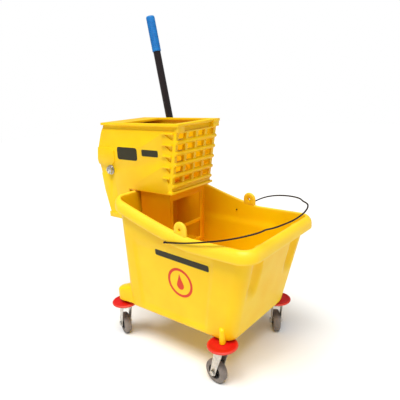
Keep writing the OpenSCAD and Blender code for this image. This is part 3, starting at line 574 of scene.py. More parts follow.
# ---------------------------------------------------------------- bucket
@dataclass
class Bucket:
    """The bucket shell: one moulding with a rolled lip, ears, bail bosses and lobes over the casters.

    Attributes:
        rim_z: Height of the rim in front of ramp_x.
        rim_rise: How much higher the rim is at the back.
        ramp_x: Where the rim starts to climb.
        ramp_power: Above 1, the climb starts gently.
        lip_w: How far the lip stands out from the wall.
        lip_h: How far the lip hangs down.
        ear_x: Place of the ears along X.
        bail_x: Place of the knobs for the bail along X.
        front_x: Distance of the front casters in front of the origin.
        rear_x: Distance of the rear casters behind the origin.
        bumper_gap: Gap between the tops of the bumpers and the floor of the bucket.
        flute_y: Middle of each front flute along Y.
        flute_x: Where the flutes begin and where they have their full depth.
        flute_z: Height at which the flutes begin and at which they have their full depth.
        step_y: Where the pressed side panel begins and where it has its full depth.
        step_x: The same, at its rear end.
        step_low_x: Front end of the side panel at the bucket's floor.
        step_high_x: Front end of the side panel at the rim.
        step_soft: Half of the length over which its front end fades.
        step_foot: Heights over the floor at which its lower edge begins and ends.
        step_head: Depths under the rim at which its upper edge begins and ends.
        lobe_x: Distance of the outer ends of the rear blocks behind the origin.
        arc_steps: Steps in a corner of the wall.
        side_steps: Steps along a side.
        end_steps: Steps along an end.
        wall_steps: Levels of the wall.
    """

    floor_z: float = 126.0
    floor_front: float = 193.0
    floor_back: float = 178.0
    floor_w: float = 276.0
    rim_front: float = 262.0
    rim_back: float = 166.0
    rim_w: float = 316.0
    rim_z: float = 394.0
    rim_rise: float = 72.0
    ramp_x: float = 100.0
    ramp_power: float = 1.25
    wall: float = 4.0
    floor_r: float = 30.0
    rim_r: float = 30.0
    lip_w: float = 14.0
    lip_h: float = 32.0
    ear_x: float = 68.0
    ear_r: float = 20.0
    ear_rise: float = 12.0
    ear_t: float = 9.0
    ear_hole_r: float = 4.0
    bail_x: float = 26.0
    bail_z: float = 375.0
    front_x: float = 169.0
    front_y: float = 141.0
    rear_x: float = 210.0
    rear_y: float = 123.0
    bumper_gap: float = 4.0
    flute_y: float = 92.0
    flute_w: float = 44.0
    flute_depth: float = 14.0
    flute_x: Pair = (182.5, 205.0)
    flute_z: Pair = (236.0, 278.0)
    step_depth: float = 3.5
    step_y: Pair = (96.0, 118.0)
    step_x: Pair = (-120.0, -108.0)
    step_low_x: float = 112.0
    step_high_x: float = 168.0
    step_soft: float = 5.0
    step_foot: Pair = (10.0, 26.0)
    step_head: Pair = (62.0, 40.0)
    lobe_x: float = 204.0
    lobe_r: float = 22.5
    socket_r: float = 9.2
    slim_socket_r: float = 7.8
    arc_steps: int = 16
    side_steps: int = 64
    end_steps: int = 40
    wall_steps: int = 44

    def rim_at(self, x: float) -> float:
        """Returns the height of the rim at x."""
        t = min(1.0, max(0.0, self.ramp_x - x) / (self.ramp_x + self.rim_back))
        return self.rim_z + self.rim_rise * t ** self.ramp_power

    def outline(self, f: float, off: float) -> list[Pair]:
        """Returns one level of the wall, seen from above.

        Args:
            f: 0 at the floor, 1 at the rim.
            off: How far out from the wall.

        Returns:
            The points of the level, anticlockwise.
        """
        front = lerp(self.floor_front, self.rim_front, f) + off
        back = -lerp(self.floor_back, self.rim_back, f) - off
        half = lerp(self.floor_w, self.rim_w, f) / 2 + off
        r = lerp(self.floor_r, self.rim_r, f) + off
        corners = (
            (front - r, half - r, 0), (back + r, half - r, 90),
            (back + r, r - half, 180), (front - r, r - half, 270),
        )
        runs = (self.side_steps, self.end_steps, self.side_steps, self.end_steps)
        arcs = []
        for x, y, start in corners:
            turn = [math.radians(start + 90 * i / self.arc_steps) for i in range(self.arc_steps + 1)]
            arcs.append([(x + r * math.cos(a), y + r * math.sin(a)) for a in turn])
        line: list[Pair] = []
        for k, arc in enumerate(arcs):
            line += arc
            (ax, ay), (bx, by) = arc[-1], arcs[(k + 1) % 4][0]
            line += [(lerp(ax, bx, i / runs[k]), lerp(ay, by, i / runs[k])) for i in range(1, runs[k])]
        return line

    def relief(self, x: float, y: float, z: float) -> float:
        """Returns how far the wall is pressed in: flutes at the front and a step along each side."""
        across = max(0.0, 1 - (abs(abs(y) - self.flute_y) / (self.flute_w / 2)) ** 2.6)
        flute = self.flute_depth * smoothstep(*self.flute_x, x) * across * smoothstep(*self.flute_z, z)
        edge = lerp(self.step_low_x, self.step_high_x, (z - self.floor_z) / (self.rim_z - self.floor_z))
        front = 1 - smoothstep(edge - self.step_soft, edge + self.step_soft, x)
        side = smoothstep(*self.step_y, abs(y)) * smoothstep(*self.step_x, x)
        below = 1 - smoothstep(*(self.rim_z - under for under in self.step_head), z)
        above = smoothstep(*(self.floor_z + over for over in self.step_foot), z)
        return flute + self.step_depth * side * front * below * above

    def level(self, f: float, off: float, dz: float, pressed: bool = True) -> list[Point]:
        """Returns a ring of the wall.

        Args:
            f: 0 at the floor, 1 at the rim.
            off: How far out from the wall.
            dz: How far up from the wall's own height.
            pressed: Whether the relief is pressed into it.

        Returns:
            The points of the ring.
        """
        outer = self.outline(f, off)
        ring = []
        for i, (x, y) in enumerate(outer):
            z = self.floor_z + f * (self.rim_at(x) - self.floor_z) + dz
            if pressed:
                (px, py), (qx, qy) = outer[i - 1], outer[(i + 1) % len(outer)]
                tx, ty = qx - px, qy - py
                length = math.hypot(tx, ty) or 1.0
                depth = self.relief(x, y, z)
                x, y = x - depth * ty / length, y + depth * tx / length
            ring.append((x, y, z))
        return ring

    def shell(self) -> Body:
        """Builds the wall, the rolled hollow lip, the inside and the floor in one skin."""
        body = Body()
        top, low, w = self.lip_w, -self.lip_h, self.wall
        # the lip's section: distance out, height over the rim, and how much it is rubbed
        lip: list[tuple[float, float, float]] = [
            (0, -13, 0), (top - 6.5, -15, 0), (top - 4, -17, 0), (top - 3.2, low + 1.2, 0),
            (top - 2.2, low, 0.4), (top - 0.8, low + 0.2, 0.8), (top, low + 1.6, 0.8),
            (top, low * 0.8, 0.2), (top - 0.1, low * 0.62, 0.2), (top - 0.7, low * 0.46, 0.4),
            (top - 2, low * 0.33, 0.6), (top - 4, low * 0.22, 0.6), (top - 7, low * 0.11, 0.4),
            (top - 10, low * 0.03, 0.4), (0.6, -0.1, 0.6), (-1.2, -0.2, 0.8), (-2.8, -0.9, 0.8),
            (-w + 0.3, -2.2, 0.5), (-w, -5, 0.1),
        ]
        inmost = 4 - self.floor_r
        steps = [i / self.wall_steps for i in range(1, self.wall_steps)]
        rings = [self.level(0, inmost, 0, False), self.level(0, -12, 0, False)]
        rings += [self.level(0, -7, 0.3), self.level(0, -3.4, 1.4)]
        rings += [self.level(0, -1, 3.4), self.level(0.02, 0, 2)]
        rings += [self.level(f, 0, 0) for f in steps if 0.04 < f < 0.97]
        wear = [0.0] * len(rings)
        rings += [self.level(1, off, dz, False) for off, dz, _ in lip]
        wear += [rub for _, _, rub in lip]
        inside = [self.level(f, -w, 0) for f in reversed(steps) if 0.05 < f < 0.97]
        inside += [self.level(0.03, -w - 0.6, 4), self.level(0, -w - 3, w + 4), self.level(0, -w - 8, w + 1)]
        inside += [self.level(0, -w - 14, w, False), self.level(0, inmost, w, False)]
        body.loft(rings + inside, wear + [0.0] * len(inside))
        return body

    @staticmethod
    def lobe(outer: Pair, buried: Pair, radius: float, levels: Profile) -> Body:
        """Builds a rounded block over one caster that runs into the wall and slopes up to it.

        Args:
            outer: Place of the block's outer end, seen from above.
            buried: Place of the end that is buried in the wall.
            radius: Radius of both ends.
            levels: Height and inward shift of each level, from the underside up.

        Returns:
            The block.
        """
        body = Body()
        (x, y), (wall_x, wall_y) = outer, buried
        heading = math.atan2(y - wall_y, x - wall_x)
        rings = []
        for z, shift in levels:
            ox, oy = lerp(x, wall_x, shift), lerp(y, wall_y, shift)
            r = radius * (1 - 0.12 * shift) - (1.2 if z == levels[0][0] else 0.0)
            ring = []
            for (cx, cy), start in (((ox, oy), -90), ((wall_x, wall_y), 90)):
                turn = [heading + math.radians(start + 180 * i / 20) for i in range(21)]
                ring += [(cx + r * math.cos(a), cy + r * math.sin(a), z) for a in turn]
            rings.append(ring)
        body.loft(rings)
        return body

    def rear_lobe(self, side: int) -> Body:
        """Builds the wide block over a rear caster."""
        z = self.floor_z + 7
        levels = (
            (z, 0.0), (z + 1.4, 0.0), (z + 30, 0.0), (z + 33.5, 0.03),
            (z + 36, 0.09), (z + 39.5, 0.25), (z + 44.5, 0.55), (z + 50, 0.92),
        )
        outer = (-self.lobe_x, side * (self.rear_y - 3))
        buried = (28 - self.floor_back, side * (self.rear_y - 9))
        return self.lobe(outer, buried, self.lobe_r, levels)

    def front_socket(self, side: int) -> Body:
        """Builds the slim socket over a front caster's stem, which fades into the corner above."""
        z = self.floor_z - self.bumper_gap + 0.6
        levels = ((z, 0.0), (z + 0.8, 0.0), (z + 36, 0.0), (z + 39, 0.05), (z + 42, 0.2), (z + 47, 0.9))
        outer, buried = (self.front_x, side * self.front_y), (self.front_x - 8, side * (self.front_y - 20))
        return self.lobe(outer, buried, self.slim_socket_r, levels)

    def rear_socket(self, side: int) -> Body:
        """Builds the short boss under a rear block."""
        z = self.floor_z - self.bumper_gap + 0.6
        levels = ((z, 0.0), (z + 0.8, 0.0), (z + 14, 0.0))
        outer, buried = (-self.rear_x, side * self.rear_y), (1 - self.rear_x, side * self.rear_y)
        return self.lobe(outer, buried, self.socket_r, levels)

    def ear(self, side: int) -> Body:
        """Builds a round-topped, crowned ear with its hole."""
        body = Body()
        steps, foot = 48, 9
        cz = self.rim_at(self.ear_x) + self.ear_rise
        square, hole = [], circle(self.ear_hole_r, steps)
        for dx, dz in circle(self.ear_r, steps):
            # below its centre the round becomes a block that reaches down into the lip
            if dz < 0:
                reach = self.ear_r / max(abs(dx), 1e-5)
                stretch = min(reach, (self.ear_rise + foot) / max(abs(dz), 1e-5))
                dx, dz = dx * stretch, dz * stretch
            square.append((dx, dz))
        y0 = side * (self.rim_w / 2 - self.wall)
        y1 = y0 + side * self.ear_t
        crown = side * self.ear_t / 2
        layers = [
            (hole, y0 + 0.1 * crown, 1.0), (hole, y0, 1.25), (square, y0, 0.8),
            (square, y0 + 0.25 * crown, 0.93), (square, y0 + 0.75 * crown, 1.0),
            (square, y1 - 0.75 * crown, 1.0), (square, y1 - 0.25 * crown, 0.93),
            (square, y1, 0.8), (hole, y1, 1.25), (hole, y1 - 0.1 * crown, 1.0),
        ]
        numbers = []
        for line, y, k in layers:
            points = [(self.ear_x + dx * k, y, cz + dz * k) for dx, dz in line]
            numbers.append(body.ring(points, 0.6 if line is square else 0.0))
        for a, b in zip(numbers, numbers[1:] + numbers[:1]):
            body.bridge(a, b)
        return body

    def bail_boss(self, side: int) -> Body:
        """Builds the knob on the lip that the bail turns in."""
        body = Body()
        out = self.rim_w / 2 + self.lip_w
        rings = []
        for r, y in ((8.0, out - 18), (8.0, out - 5), (7.4, out - 4.2), (6.4, out - 3.9), (3.2, out - 3.9)):
            rings.append([(self.bail_x + dx, side * y, self.bail_z + dz) for dx, dz in circle(r, 40)])
        body.loft(rings)
        return body

    def on_wall(self, x: float, z: float, side: int, out: float) -> Point:
        """Returns the point on a side wall's face at x and z, out from it."""
        f = (z - self.floor_z) / (self.rim_at(x) - self.floor_z)
        half = lerp(self.floor_w, self.rim_w, f) / 2
        return x, side * (half - self.relief(x, half, z) + out), z

    def build(self) -> None:
        """Makes and dresses the bucket's pieces."""
        place(self.shell().build("bucket_moulding"), "bucket", Slot.YELLOW, "bucket")
        joined = {}
        for side, word in ((-1, "right"), (1, "left")):
            joined[f"rear_{word}_block"] = self.rear_lobe(side)
            joined[f"rear_{word}_socket"] = self.rear_socket(side)
            joined[f"front_{word}_socket"] = self.front_socket(side)
            joined[f"{word}_ear"] = self.ear(side)
            joined[f"{word}_bail_boss"] = self.bail_boss(side)
        for name, part in joined.items():
            place(part.build(name), "bucket", Slot.YELLOW)


@dataclass
class Mark:
    """A flat printed shape laid on a face: an outline with an optional hole, both closed loops.

    Attributes:
        outline: The shape's edge.
        hole: The edge of its hole.
        thickness: How far the ink stands out from the face.
        sink: How far its edges reach under the face.
        step: Longest stretch between two points, so that the mark follows a curved face.
        rings: Rings between the edge and the middle of a shape without a hole.
    """

    outline: list[Pair]
    hole: list[Pair] | None = None
    thickness: float = 0.25
    sink: float = 0.3
    step: float = 3.0
    rings: int = 8

    def build(self, name: str, onto: Callable[[float, float, float], Point]) -> bpy.types.Object:
        """Builds the mark.

        Args:
            name: The piece's name.
            onto: Gives the point on the face for two coordinates and a distance out.

        Returns:
            The mark.
        """
        body = Body()
        line = dense(self.outline, self.step)
        edge = body.ring(onto(u, v, -self.sink) for u, v in line)
        last = body.ring(onto(u, v, self.thickness) for u, v in line)
        body.bridge(edge, last)
        if self.hole:
            hole = matched(line, self.hole)
            for t in (0.5, 1.0):
                between = [(lerp(u, hu, t), lerp(v, hv, t)) for (u, v), (hu, hv) in zip(line, hole)]
                ring = body.ring(onto(u, v, self.thickness) for u, v in between)
                body.bridge(last, ring)
                last = ring
            deep = body.ring(onto(u, v, -self.sink) for u, v in hole)
            body.bridge(last, deep)
            body.bridge(deep, edge)
            return body.build(name)
        u0 = sum(u for u, _ in line) / len(line)
        v0 = sum(v for _, v in line) / len(line)
        for k in range(1, self.rings):
            t = k / self.rings
            ring = body.ring(onto(lerp(u, u0, t), lerp(v, v0, t), self.thickness) for u, v in line)
            body.bridge(last, ring)
            last = ring
        body.fan(last, onto(u0, v0, self.thickness))
        body.fan(edge, onto(u0, v0, -4 * self.sink), True)
        return body.build(name)


def dense(line: Sequence[Pair], step: float) -> list[Pair]:
    """Returns a closed line with its long stretches divided into short ones."""
    out = []
    for (ax, ay), (bx, by) in zip(line, list(line[1:]) + [line[0]]):
        parts = max(1, math.ceil(math.hypot(bx - ax, by - ay) / step))
        out += [(lerp(ax, bx, i / parts), lerp(ay, by, i / parts)) for i in range(parts)]
    return out


def matched(line: Sequence[Pair], hole: Sequence[Pair]) -> list[Pair]:
    """Returns, for each point of a line, the nearest point of a hole's line."""
    fine = dense(hole, 0.7)
    return [min(fine, key=lambda q: (q[0] - p[0]) ** 2 + (q[1] - p[1]) ** 2) for p in line]


def rounded_polygon(corners: Sequence[Pair], radius: float, steps: int = 8) -> list[Pair]:
    """Returns a polygon's outline with its corners rounded."""
    line = []
    n = len(corners)
    for i in range(n):
        p, a, b = Vector(corners[i]), Vector(corners[i - 1]), Vector(corners[(i + 1) % n])
        u, v = (a - p).normalized(), (b - p).normalized()
        half = math.acos(max(-1.0, min(1.0, u.dot(v)))) / 2
        reach = radius / math.tan(half)
        start, end = p + u * reach, p + v * reach
        for k in range(steps + 1):
            t = k / steps
            q = (1 - t) ** 2 * start + 2 * t * (1 - t) * p + t * t * end
            line.append((q.x, q.y))
    return line


def droplet(x: float, z: float, radius: float, tall: float, steps: int = 32) -> list[Pair]:
    """Returns a drop's outline: round below, drawn to a point above."""
    line = []
    for i in range(steps):
        a = 2 * math.pi * i / steps - math.pi / 2
        lift = max(0.0, math.sin(a)) ** 3
        across = radius * math.cos(a) * (1 - 0.75 * lift)
        line.append((x + across, z + radius * math.sin(a) + (tall - radius) * lift))
    return line


@dataclass
class BucketMarks:
    """The plain printed marks on the bucket's sides: a bar, and a ring around a drop."""

    bucket: Bucket
    bar_x: Pair = (-36.0, 143.0)
    bar_z: Pair = (320.0, 337.0)
    bar_drop: float = 8.0
    centre: Pair = (42.0, 256.0)
    ring_r: float = 42.0
    band: float = 7.5
    bar_corner: float = 5.0
    drop_below: float = 8.0
    drop_r: float = 12.0
    drop_tall: float = 34.0

    def build(self) -> None:
        """Builds the marks on both sides."""
        (x0, x1), (z0, z1) = self.bar_x, self.bar_z
        cx, cz = self.centre
        outer, inner = (
            [(cx + dx, cz + dz) for dx, dz in circle(r, 72)] for r in (self.ring_r, self.ring_r - self.band)
        )
        slanted = ((x0, z0), (x1, z0 - self.bar_drop), (x1, z1 - self.bar_drop), (x0, z1))
        bar, ring = Mark(rounded_polygon(slanted, self.bar_corner)), Mark(outer, inner)
        drop = Mark(droplet(cx, cz - self.drop_below, self.drop_r, self.drop_tall))
        for side, name in ((-1, "right"), (1, "left")):
            def onto(x: float, z: float, out: float, side: int = side) -> Point:
                """Lays a point on this side's wall."""
                return self.bucket.on_wall(x, z, side, out)

            place(bar.build(f"{name}_printed_bar", onto), "bucket", Slot.BLACK_PLASTIC, finish=DARK_INK)
            place(ring.build(f"{name}_printed_ring", onto), "bucket", Slot.RED, finish=RED_INK)
            place(drop.build(f"{name}_printed_drop", onto), "bucket", Slot.RED, finish=RED_INK)


# ---------------------------------------------------------------- wringer
@dataclass
class Wringer:
    """The wringer's mouldings, press and shaft, and the plain bars printed on its sides.

    Attributes:
        moulded_edge: Edge radius of the plastic parts.
        pressed_edge: Edge radius of the metal parts.
        half: Distance of the side panels' outer faces from the middle.
        broad_bar: Rear, front, foot and head of the broad bar.
        slim_bar: The same, of the slim bar.
        broad_corner: Corner radius of the broad bar.
        slim_corner: Corner radius of the slim bar.
        spring_turns: Turns of the return spring.
        spring_wire: Radius of its wire.
    """

    moulded_edge: float = 1.3
    pressed_edge: float = 0.6
    half: float = 84.0
    broad_bar: tuple[float, float, float, float] = (-225.0, -143.0, 553.0, 589.0)
    slim_bar: tuple[float, float, float, float] = (-124.0, -62.0, 568.0, 586.0)
    broad_corner: float = 9.0
    slim_corner: float = 4.0
    spring_turns: float = 5.0
    spring_wire: float = 1.5

    def mouldings(self) -> None:
        """Finishes the plastic parts of the housing and the press."""
        for node in ("right_side_panel", "left_side_panel", "mouth_flange", "front_grate", "rear_cover"):
            place(copy_of(node, f"{node}_moulding", self.moulded_edge), "wringer", Slot.YELLOW, node)
        # the hopper and the press plate take the darker polypropylene, painted shade for their place deep in
        # the mouth
        place(copy_of("hopper", "hopper_moulding", self.moulded_edge), "wringer", Slot.YELLOW, "hopper",
              finish=PAINTED_SHADE_POLYPROPYLENE)
        place(copy_of("press_plate", "press_plate_moulding", self.moulded_edge), "press_plate", Slot.YELLOW,
              "press_plate", finish=PAINTED_SHADE_POLYPROPYLENE)

    def metalwork(self) -> None:
        """Finishes the shaft, cranks, rods and fasteners."""
        plated = {
            "lever": ("cross_shaft", "right_crank", "left_crank", "push_bar", "shaft_washer", "shaft_nut"),
            "wringer": ("tie_rod", "tie_rod_screws", "press_plate_pin"),
        }
        for body, nodes in plated.items():
            for node in nodes:
                place(copy_of(node, f"{node}_plated", self.pressed_edge), body, Slot.ZINC, node)
        for node in ("right_bush", "left_bush"):
            place(copy_of(node, f"{node}_moulded", self.pressed_edge), "wringer", Slot.BLACK_PLASTIC, node)

    def spring(self) -> None:
        """Winds the return spring in the space of its frame node."""
        low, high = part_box("return_spring")
        wire = self.spring_wire * MM
        radius = (high.x - low.x) / 2 - wire
        length = high.y - low.y - 2 * wire
        end = Matrix.Translation(((low.x + high.x) / 2, high.y - wire, (low.z + high.z) / 2))
        where = end @ Matrix.Rotation(math.radians(90), 4, "X")
        values = {"Turns": self.spring_turns, "Radius": radius, "Height": length, "Wire": wire}
        coil = coil_tree().make("return_spring_wound", values, ZINC, where)
        place(coil, "lever", Slot.ZINC, "return_spring")

    def bars(self) -> None:
        """Prints two plain bars, a broad one and a slim one, on each side panel."""
        bars = (("broad", self.broad_bar, self.broad_corner), ("slim", self.slim_bar, self.slim_corner))
        for side, name in ((-1, "right"), (1, "left")):
            def onto(x: float, z: float, out: float, side: int = side) -> Point:
                """Lays a point on this side's panel."""
                return x, side * (self.half + out), z

            for part, (x0, x1, z0, z1), corner in bars:
                bar = Mark(rounded_polygon(((x0, z0), (x1, z0), (x1, z1), (x0, z1)), corner))
                place(bar.build(f"{name}_{part}_bar", onto), "wringer", Slot.BLACK_PLASTIC, finish=DARK_INK)

    def build(self) -> None:
        """Makes every piece of the wringer."""
        self.mouldings()
        self.metalwork()
        self.spring()
        self.bars()


# ---------------------------------------------------------------- lever
@dataclass
class Lever:
    """The lever: cranked arm with its socket, enamelled tube, and a dipped grip with ridges.

    Attributes:
        tube_r: Radius of the tube.
        grip_t: Thickness of the grip's wall.
        grip_l: Length of the grip.
        lean: Backward lean of the lever at rest, in degrees.
        ridge_start: Plain length at each end of the grip, at least.
        ridge_pitch: Distance between ridges.
        ridge_bead: Radius of a ridge.
    """

    tube_r: float = 11.0
    grip_t: float = 2.0
    grip_l: float = 104.0
    lean: float = 9.8
    ridge_start: float = 12.0
    ridge_pitch: float = 5.0
    ridge_bead: float = 0.9

    def axis(self) -> Matrix:
        """Returns the frame of the grip: its foot at the origin, its length along Z."""
        low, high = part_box("lever_grip")
        middle = (low + high) / 2
        turn = Matrix.Rotation(math.radians(-self.lean), 4, "Y")
        return Matrix.Translation(middle) @ turn @ Matrix.Translation((0, 0, -(self.grip_l - 3) / 2 * MM))

    def grip(self) -> None:
        """Builds the dipped grip, with a rolled foot and a domed end, and its ridges."""
        r, length = self.tube_r + self.grip_t, self.grip_l
        body = Body()
        foot = [(self.tube_r - 1, 6), (self.tube_r + 0.1, 0.4), (r - 0.9, 0)]
        foot += [(r - 0.1, 0.6), (r + 0.3, 1.8), (r, 3.4)]
        shank = [(r - 0.2, t) for t in (10, 30, 50, 70, 88)]
        dome = [(r - 0.1, length - 6), (r - 0.6, length - 3), (r - 1.8, length - 1.1), (r - 4, length - 0.3)]
        wear = [0.0] * 5 + [0.2] * 7 + [0.7] * 4
        body.lathe(foot + shank + dome + [(3, length)], 56, wear)
        place(body.build("grip_dipped", self.axis()), "lever", Slot.BLUE, "lever_grip", "lever_cap")
        values = {
            "Count": int((length - 2 * self.ridge_start) / self.ridge_pitch), "Pitch": self.ridge_pitch * MM,
            "Radius": (r - 0.5) * MM, "Bead": self.ridge_bead * MM,
        }
        where = self.axis() @ Matrix.Translation((0, 0, self.ridge_start * MM))
        place(ridge_tree().make("grip_ridges", values, VINYL, where), "lever", Slot.BLUE)

    def build(self) -> None:
        """Makes every piece of the lever."""
        place(copy_of("lever_arm", "lever_arm_enamelled", 1.2, 3), "lever", Slot.BLACK_ENAMEL, "lever_arm")
        place(copy_of("lever_tube", "lever_tube_enamelled", 0.0), "lever", Slot.BLACK_ENAMEL, "lever_tube")
        place(copy_of("lever_bolts", "lever_bolts_plated", 0.5), "lever", Slot.ZINC, "lever_bolts")
        self.grip()


# ---------------------------------------------------------------- casters
class Corner(Enum):
    """The four casters."""

    FRONT_RIGHT = "front_right"
    FRONT_LEFT = "front_left"
    REAR_RIGHT = "rear_right"
    REAR_LEFT = "rear_left"


@dataclass
class Caster:
    """One caster: round bumper, stem, pressed fork, axle, spoked hub and rounded tyre."""

    corner: Corner
    ribs: Tree
    wheel_r: float = 32.5
    tyre_w: float = 22.0
    hub_r: float = 19.0
    axle_r: float = 4.0
    bumper_r: float = 40.0
    bumper_t: float = 8.0
    stem_r: float = 5.5
    spokes: int = 6

    def node(self, part: str) -> str:
        """Returns the frame node of one of this caster's parts."""
        return f"{self.corner.value}_{part}"

    def wheel_frame(self) -> Matrix:
        """Returns the wheel's frame: its middle at the origin, its axle along Z."""
        low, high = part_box(self.node("tyre"))
        stem_low, stem_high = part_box(self.node("stem"))
        middle = (low + high) / 2
        away = middle - (stem_low + stem_high) / 2
        heading = Matrix.Rotation(math.atan2(away.y, away.x), 4, "Z")
        return Matrix.Translation(middle) @ heading @ Matrix.Rotation(math.radians(90), 4, "X")

    def tyre(self) -> Body:
        """Builds the tread with round shoulders, a moulding line and a grooved side wall."""
        half, r, body = self.tyre_w / 2, self.wheel_r, Body()
        bead = [
            (self.hub_r, half - 2.5), (self.hub_r + 0.6, half - 1.2), (self.hub_r + 2.4, half - 0.3),
            (self.hub_r + 4.2, half),
        ]
        groove = [(r - 7.4, half), (r - 7.0, half - 0.5), (r - 6.4, half - 0.5), (r - 6.0, half - 0.05)]
        shoulder = [
            (r - 4.4, half - 0.5), (r - 2.6, half - 1.8), (r - 1.1, half - 4.0), (r - 0.3, half - 7.0),
            (r, half - 9.6),
        ]
        side = bead + groove + shoulder + [(r, 0.6), (r - 0.3, 0.35)]
        body.tube(side + [(a, -b) for a, b in reversed(side)], 88)
        return body

    def hub(self) -> Body:
        """Builds the dished hub with its rim and boss."""
        half, r, body = self.tyre_w / 2 - 0.5, self.hub_r, Body()
        bore, web = self.axle_r + 0.08, 3.0
        side = [
            (bore, half + 0.4), (bore + 3.6, half + 0.4), (bore + 4.2, half - 0.2), (bore + 4.6, web),
            (r - 4, web), (r - 3.2, half - 1.4), (r - 2.6, half - 0.8), (r - 0.8, half - 0.8),
            (r, half - 2.2),
        ]
        body.tube(side + [(a, -b) for a, b in reversed(side)], 64)
        return body

    def bumper(self) -> Body:
        """Builds the round bumper with a rolled edge and a dished top."""
        r, t, body = self.bumper_r, self.bumper_t, Body()
        under = [(self.stem_r, 0.4), (14, 0), (r - 9, 0)]
        edge = [
            (r - 4, 0.3), (r - 1.4, 1.2), (r - 0.3, 2.6), (r, t * 0.5),
            (r - 0.4, t * 0.72), (r - 1.6, t - 0.9), (r - 3.4, t - 0.2),
        ]
        dish = [
            (r - 6, t), (r - 8, t - 0.7), (r - 12, t - 1.4), (18, t - 1.4), (14.5, t - 0.2), (12, t),
            (self.stem_r, t),
        ]
        wear = [0.0] * len(under) + [0.3, 0.8, 1.0, 1.0, 0.9, 0.5, 0.2] + [0.0] * len(dish)
        body.tube(under + edge + dish, 88, wear)
        return body

    def build(self) -> None:
        """Makes and dresses the caster's pieces."""
        name = self.corner.value
        turning, rolling = f"{name}_swivel", f"{name}_wheel"
        low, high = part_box(self.node("bumper"))
        seat = Matrix.Translation(((low.x + high.x) / 2, (low.y + high.y) / 2, low.z))
        place(self.bumper().build(f"{name}_bumper_disc", seat), "bucket", Slot.RED, self.node("bumper"))
        for part, body, edge in (("stem", "bucket", 0.6), ("fork", turning, 0.5), ("axle", turning, 0.5)):
            place(copy_of(self.node(part), f"{name}_{part}_plated", edge), body, Slot.ZINC, self.node(part))
        wheel = self.wheel_frame()
        place(self.tyre().build(f"{name}_tread", wheel), rolling, Slot.RUBBER, self.node("tyre"))
        place(self.hub().build(f"{name}_wheel_centre", wheel), rolling, Slot.BLACK_PLASTIC, self.node("hub"))
        span = self.hub_r - self.axle_r - 8
        values = {
            "Count": self.spokes, "Middle radius": (self.axle_r + 4 + span / 2) * MM,
            "Rib size": Vector((span * MM, 2.4 * MM, (self.tyre_w - 5) * MM)),
        }
        ribs = self.ribs.make(f"{name}_wheel_ribs", values, NYLON, wheel)
        place(ribs, rolling, Slot.BLACK_PLASTIC)


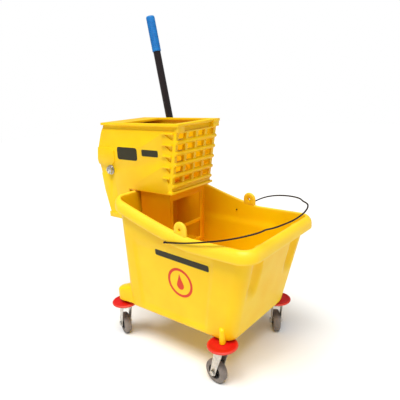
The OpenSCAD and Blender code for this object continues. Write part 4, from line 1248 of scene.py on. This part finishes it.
# ---------------------------------------------------------------- studio
@dataclass
class Studio:
    """A plain pale floor, soft lights and the camera.

    Attributes:
        eye: Place of the camera, in millimetres.
        azimuth: Turn of the view from the Y axis, in radians.
        pitch: How far the view looks down, in radians.
        roll: Turn about the line of sight, in radians.
        focal_share: Focal length as a share of the sensor's width.
        room_light: Strength of the white room that lights the object.
        backdrop: Strength of the white that the camera sees behind the object.
        floor_half: Half of the floor's side.
        key: The main light: a point on the side it comes from, its strength and its spread in degrees.
        fill: The same, of the light that opens up the shadows.
    """

    eye: Point = (727.2, -884.3, 750.8)
    azimuth: float = 0.6844
    pitch: float = 0.26647
    roll: float = -0.05183
    focal_share: float = 1.06026
    room_light: float = 0.3
    backdrop: float = 1.0
    floor_half: float = 6000.0
    key: tuple[Point, float, float] = ((-0.15, -0.9, 2.0), 1.5, 26.0)
    fill: tuple[Point, float, float] = ((0.75, -0.75, 2.2), 2.1, 30.0)

    def camera(self) -> None:
        """Sets up the camera."""
        data = bpy.data.cameras.new("view")
        data.sensor_width = 36.0
        data.lens = self.focal_share * data.sensor_width
        data.clip_end = 50.0
        across, down = math.cos(self.pitch), math.sin(self.pitch)
        ahead = Vector((-math.sin(self.azimuth) * across, math.cos(self.azimuth) * across, -down))
        level = Vector((math.cos(self.azimuth), math.sin(self.azimuth), 0))
        above = level.cross(ahead)
        right = math.cos(self.roll) * level + math.sin(self.roll) * above
        up = right.cross(ahead)
        turn = Matrix((right, up, -ahead)).transposed().to_4x4()
        camera = bpy.data.objects.new("view", data)
        camera.matrix_world = Matrix.Translation(Vector(self.eye) * MM) @ turn
        bpy.context.scene.collection.objects.link(camera)
        bpy.context.scene.camera = camera

    def floor(self) -> None:
        """Lays the pale floor under the wheels."""
        body = Body()
        half, slab = self.floor_half, 40.0
        corners = [(-half, -half), (half, -half), (half, half), (-half, half)]
        body.loft([[(x, y, z) for x, y in corners] for z in (-slab, 0.0)])
        floor = body.build("floor")
        paint = bpy.data.materials.new("pale_floor_paint")
        paint.use_nodes = True
        surface = paint.node_tree.nodes["Principled BSDF"]
        surface.inputs["Base Color"].default_value = linear("#F4F4F2")
        surface.inputs["Roughness"].default_value = 0.7
        floor.data.materials.append(paint)
        floor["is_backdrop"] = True

    @staticmethod
    def light(name: str, origin: Point, strength: float, spread: float) -> None:
        """Adds a soft distant light.

        Args:
            name: Name of the light.
            origin: A point on the side that the light comes from.
            strength: Strength in watts per square metre.
            spread: Angle the light fills, in degrees, which softens its shadows.
        """
        data = bpy.data.lights.new(name, "SUN")
        data.energy = strength
        data.angle = math.radians(spread)
        made = bpy.data.objects.new(name, data)
        made.location = origin
        made.rotation_euler = (-Vector(origin)).to_track_quat("-Z", "Y").to_euler()
        bpy.context.scene.collection.objects.link(made)

    def build(self) -> None:
        """Makes the whole studio."""
        self.camera()
        self.floor()
        self.light("key", *self.key)
        self.light("fill", *self.fill)
        world = bpy.data.worlds.new("studio")
        world.use_nodes = True
        tree = world.node_tree
        soft = tree.nodes["Background"]
        soft.inputs["Color"].default_value = linear("#FFFFFF")
        soft.inputs["Strength"].default_value = self.room_light
        # the camera sees plain white behind the object, brighter than the light that it gives
        backdrop = add(tree, "ShaderNodeBackground", {"Color": linear("#FFFFFF"), "Strength": self.backdrop})
        seen = add(tree, "ShaderNodeLightPath").outputs["Is Camera Ray"]
        both = add(tree, "ShaderNodeMixShader", {0: seen, 1: soft.outputs[0], 2: backdrop.outputs[0]})
        tree.links.new(both.outputs[0], tree.nodes["World Output"].inputs["Surface"])
        bpy.context.scene.world = world
        bpy.context.scene.view_settings.view_transform = "Standard"


def save_sizes() -> None:
    """Gathers the frame's box and the finished model's box as plain numbers; nothing is written."""
    boxes = {"cad": CAD_BOX, "visual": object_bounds()}
    plain = {name: [[float(v) for v in corner] for corner in box] for name, box in boxes.items()}


def main() -> None:
    """Builds the studio and every sub-assembly in order."""
    logging.basicConfig(level=logging.INFO, format="%(message)s")
    Studio().build()
    bucket = Bucket()
    bucket.build()
    BucketMarks(bucket).build()
    Wringer().build()
    Lever().build()
    ribs = spoke_tree()
    for corner in Corner:
        Caster(corner, ribs).build()
    bail = copy_of("bail_wire", "bail_wire_dipped", 0.0)
    place(bail, "bail", Slot.BAIL, "bail_wire")
    save_sizes()


if __name__ == "__main__":
    main()
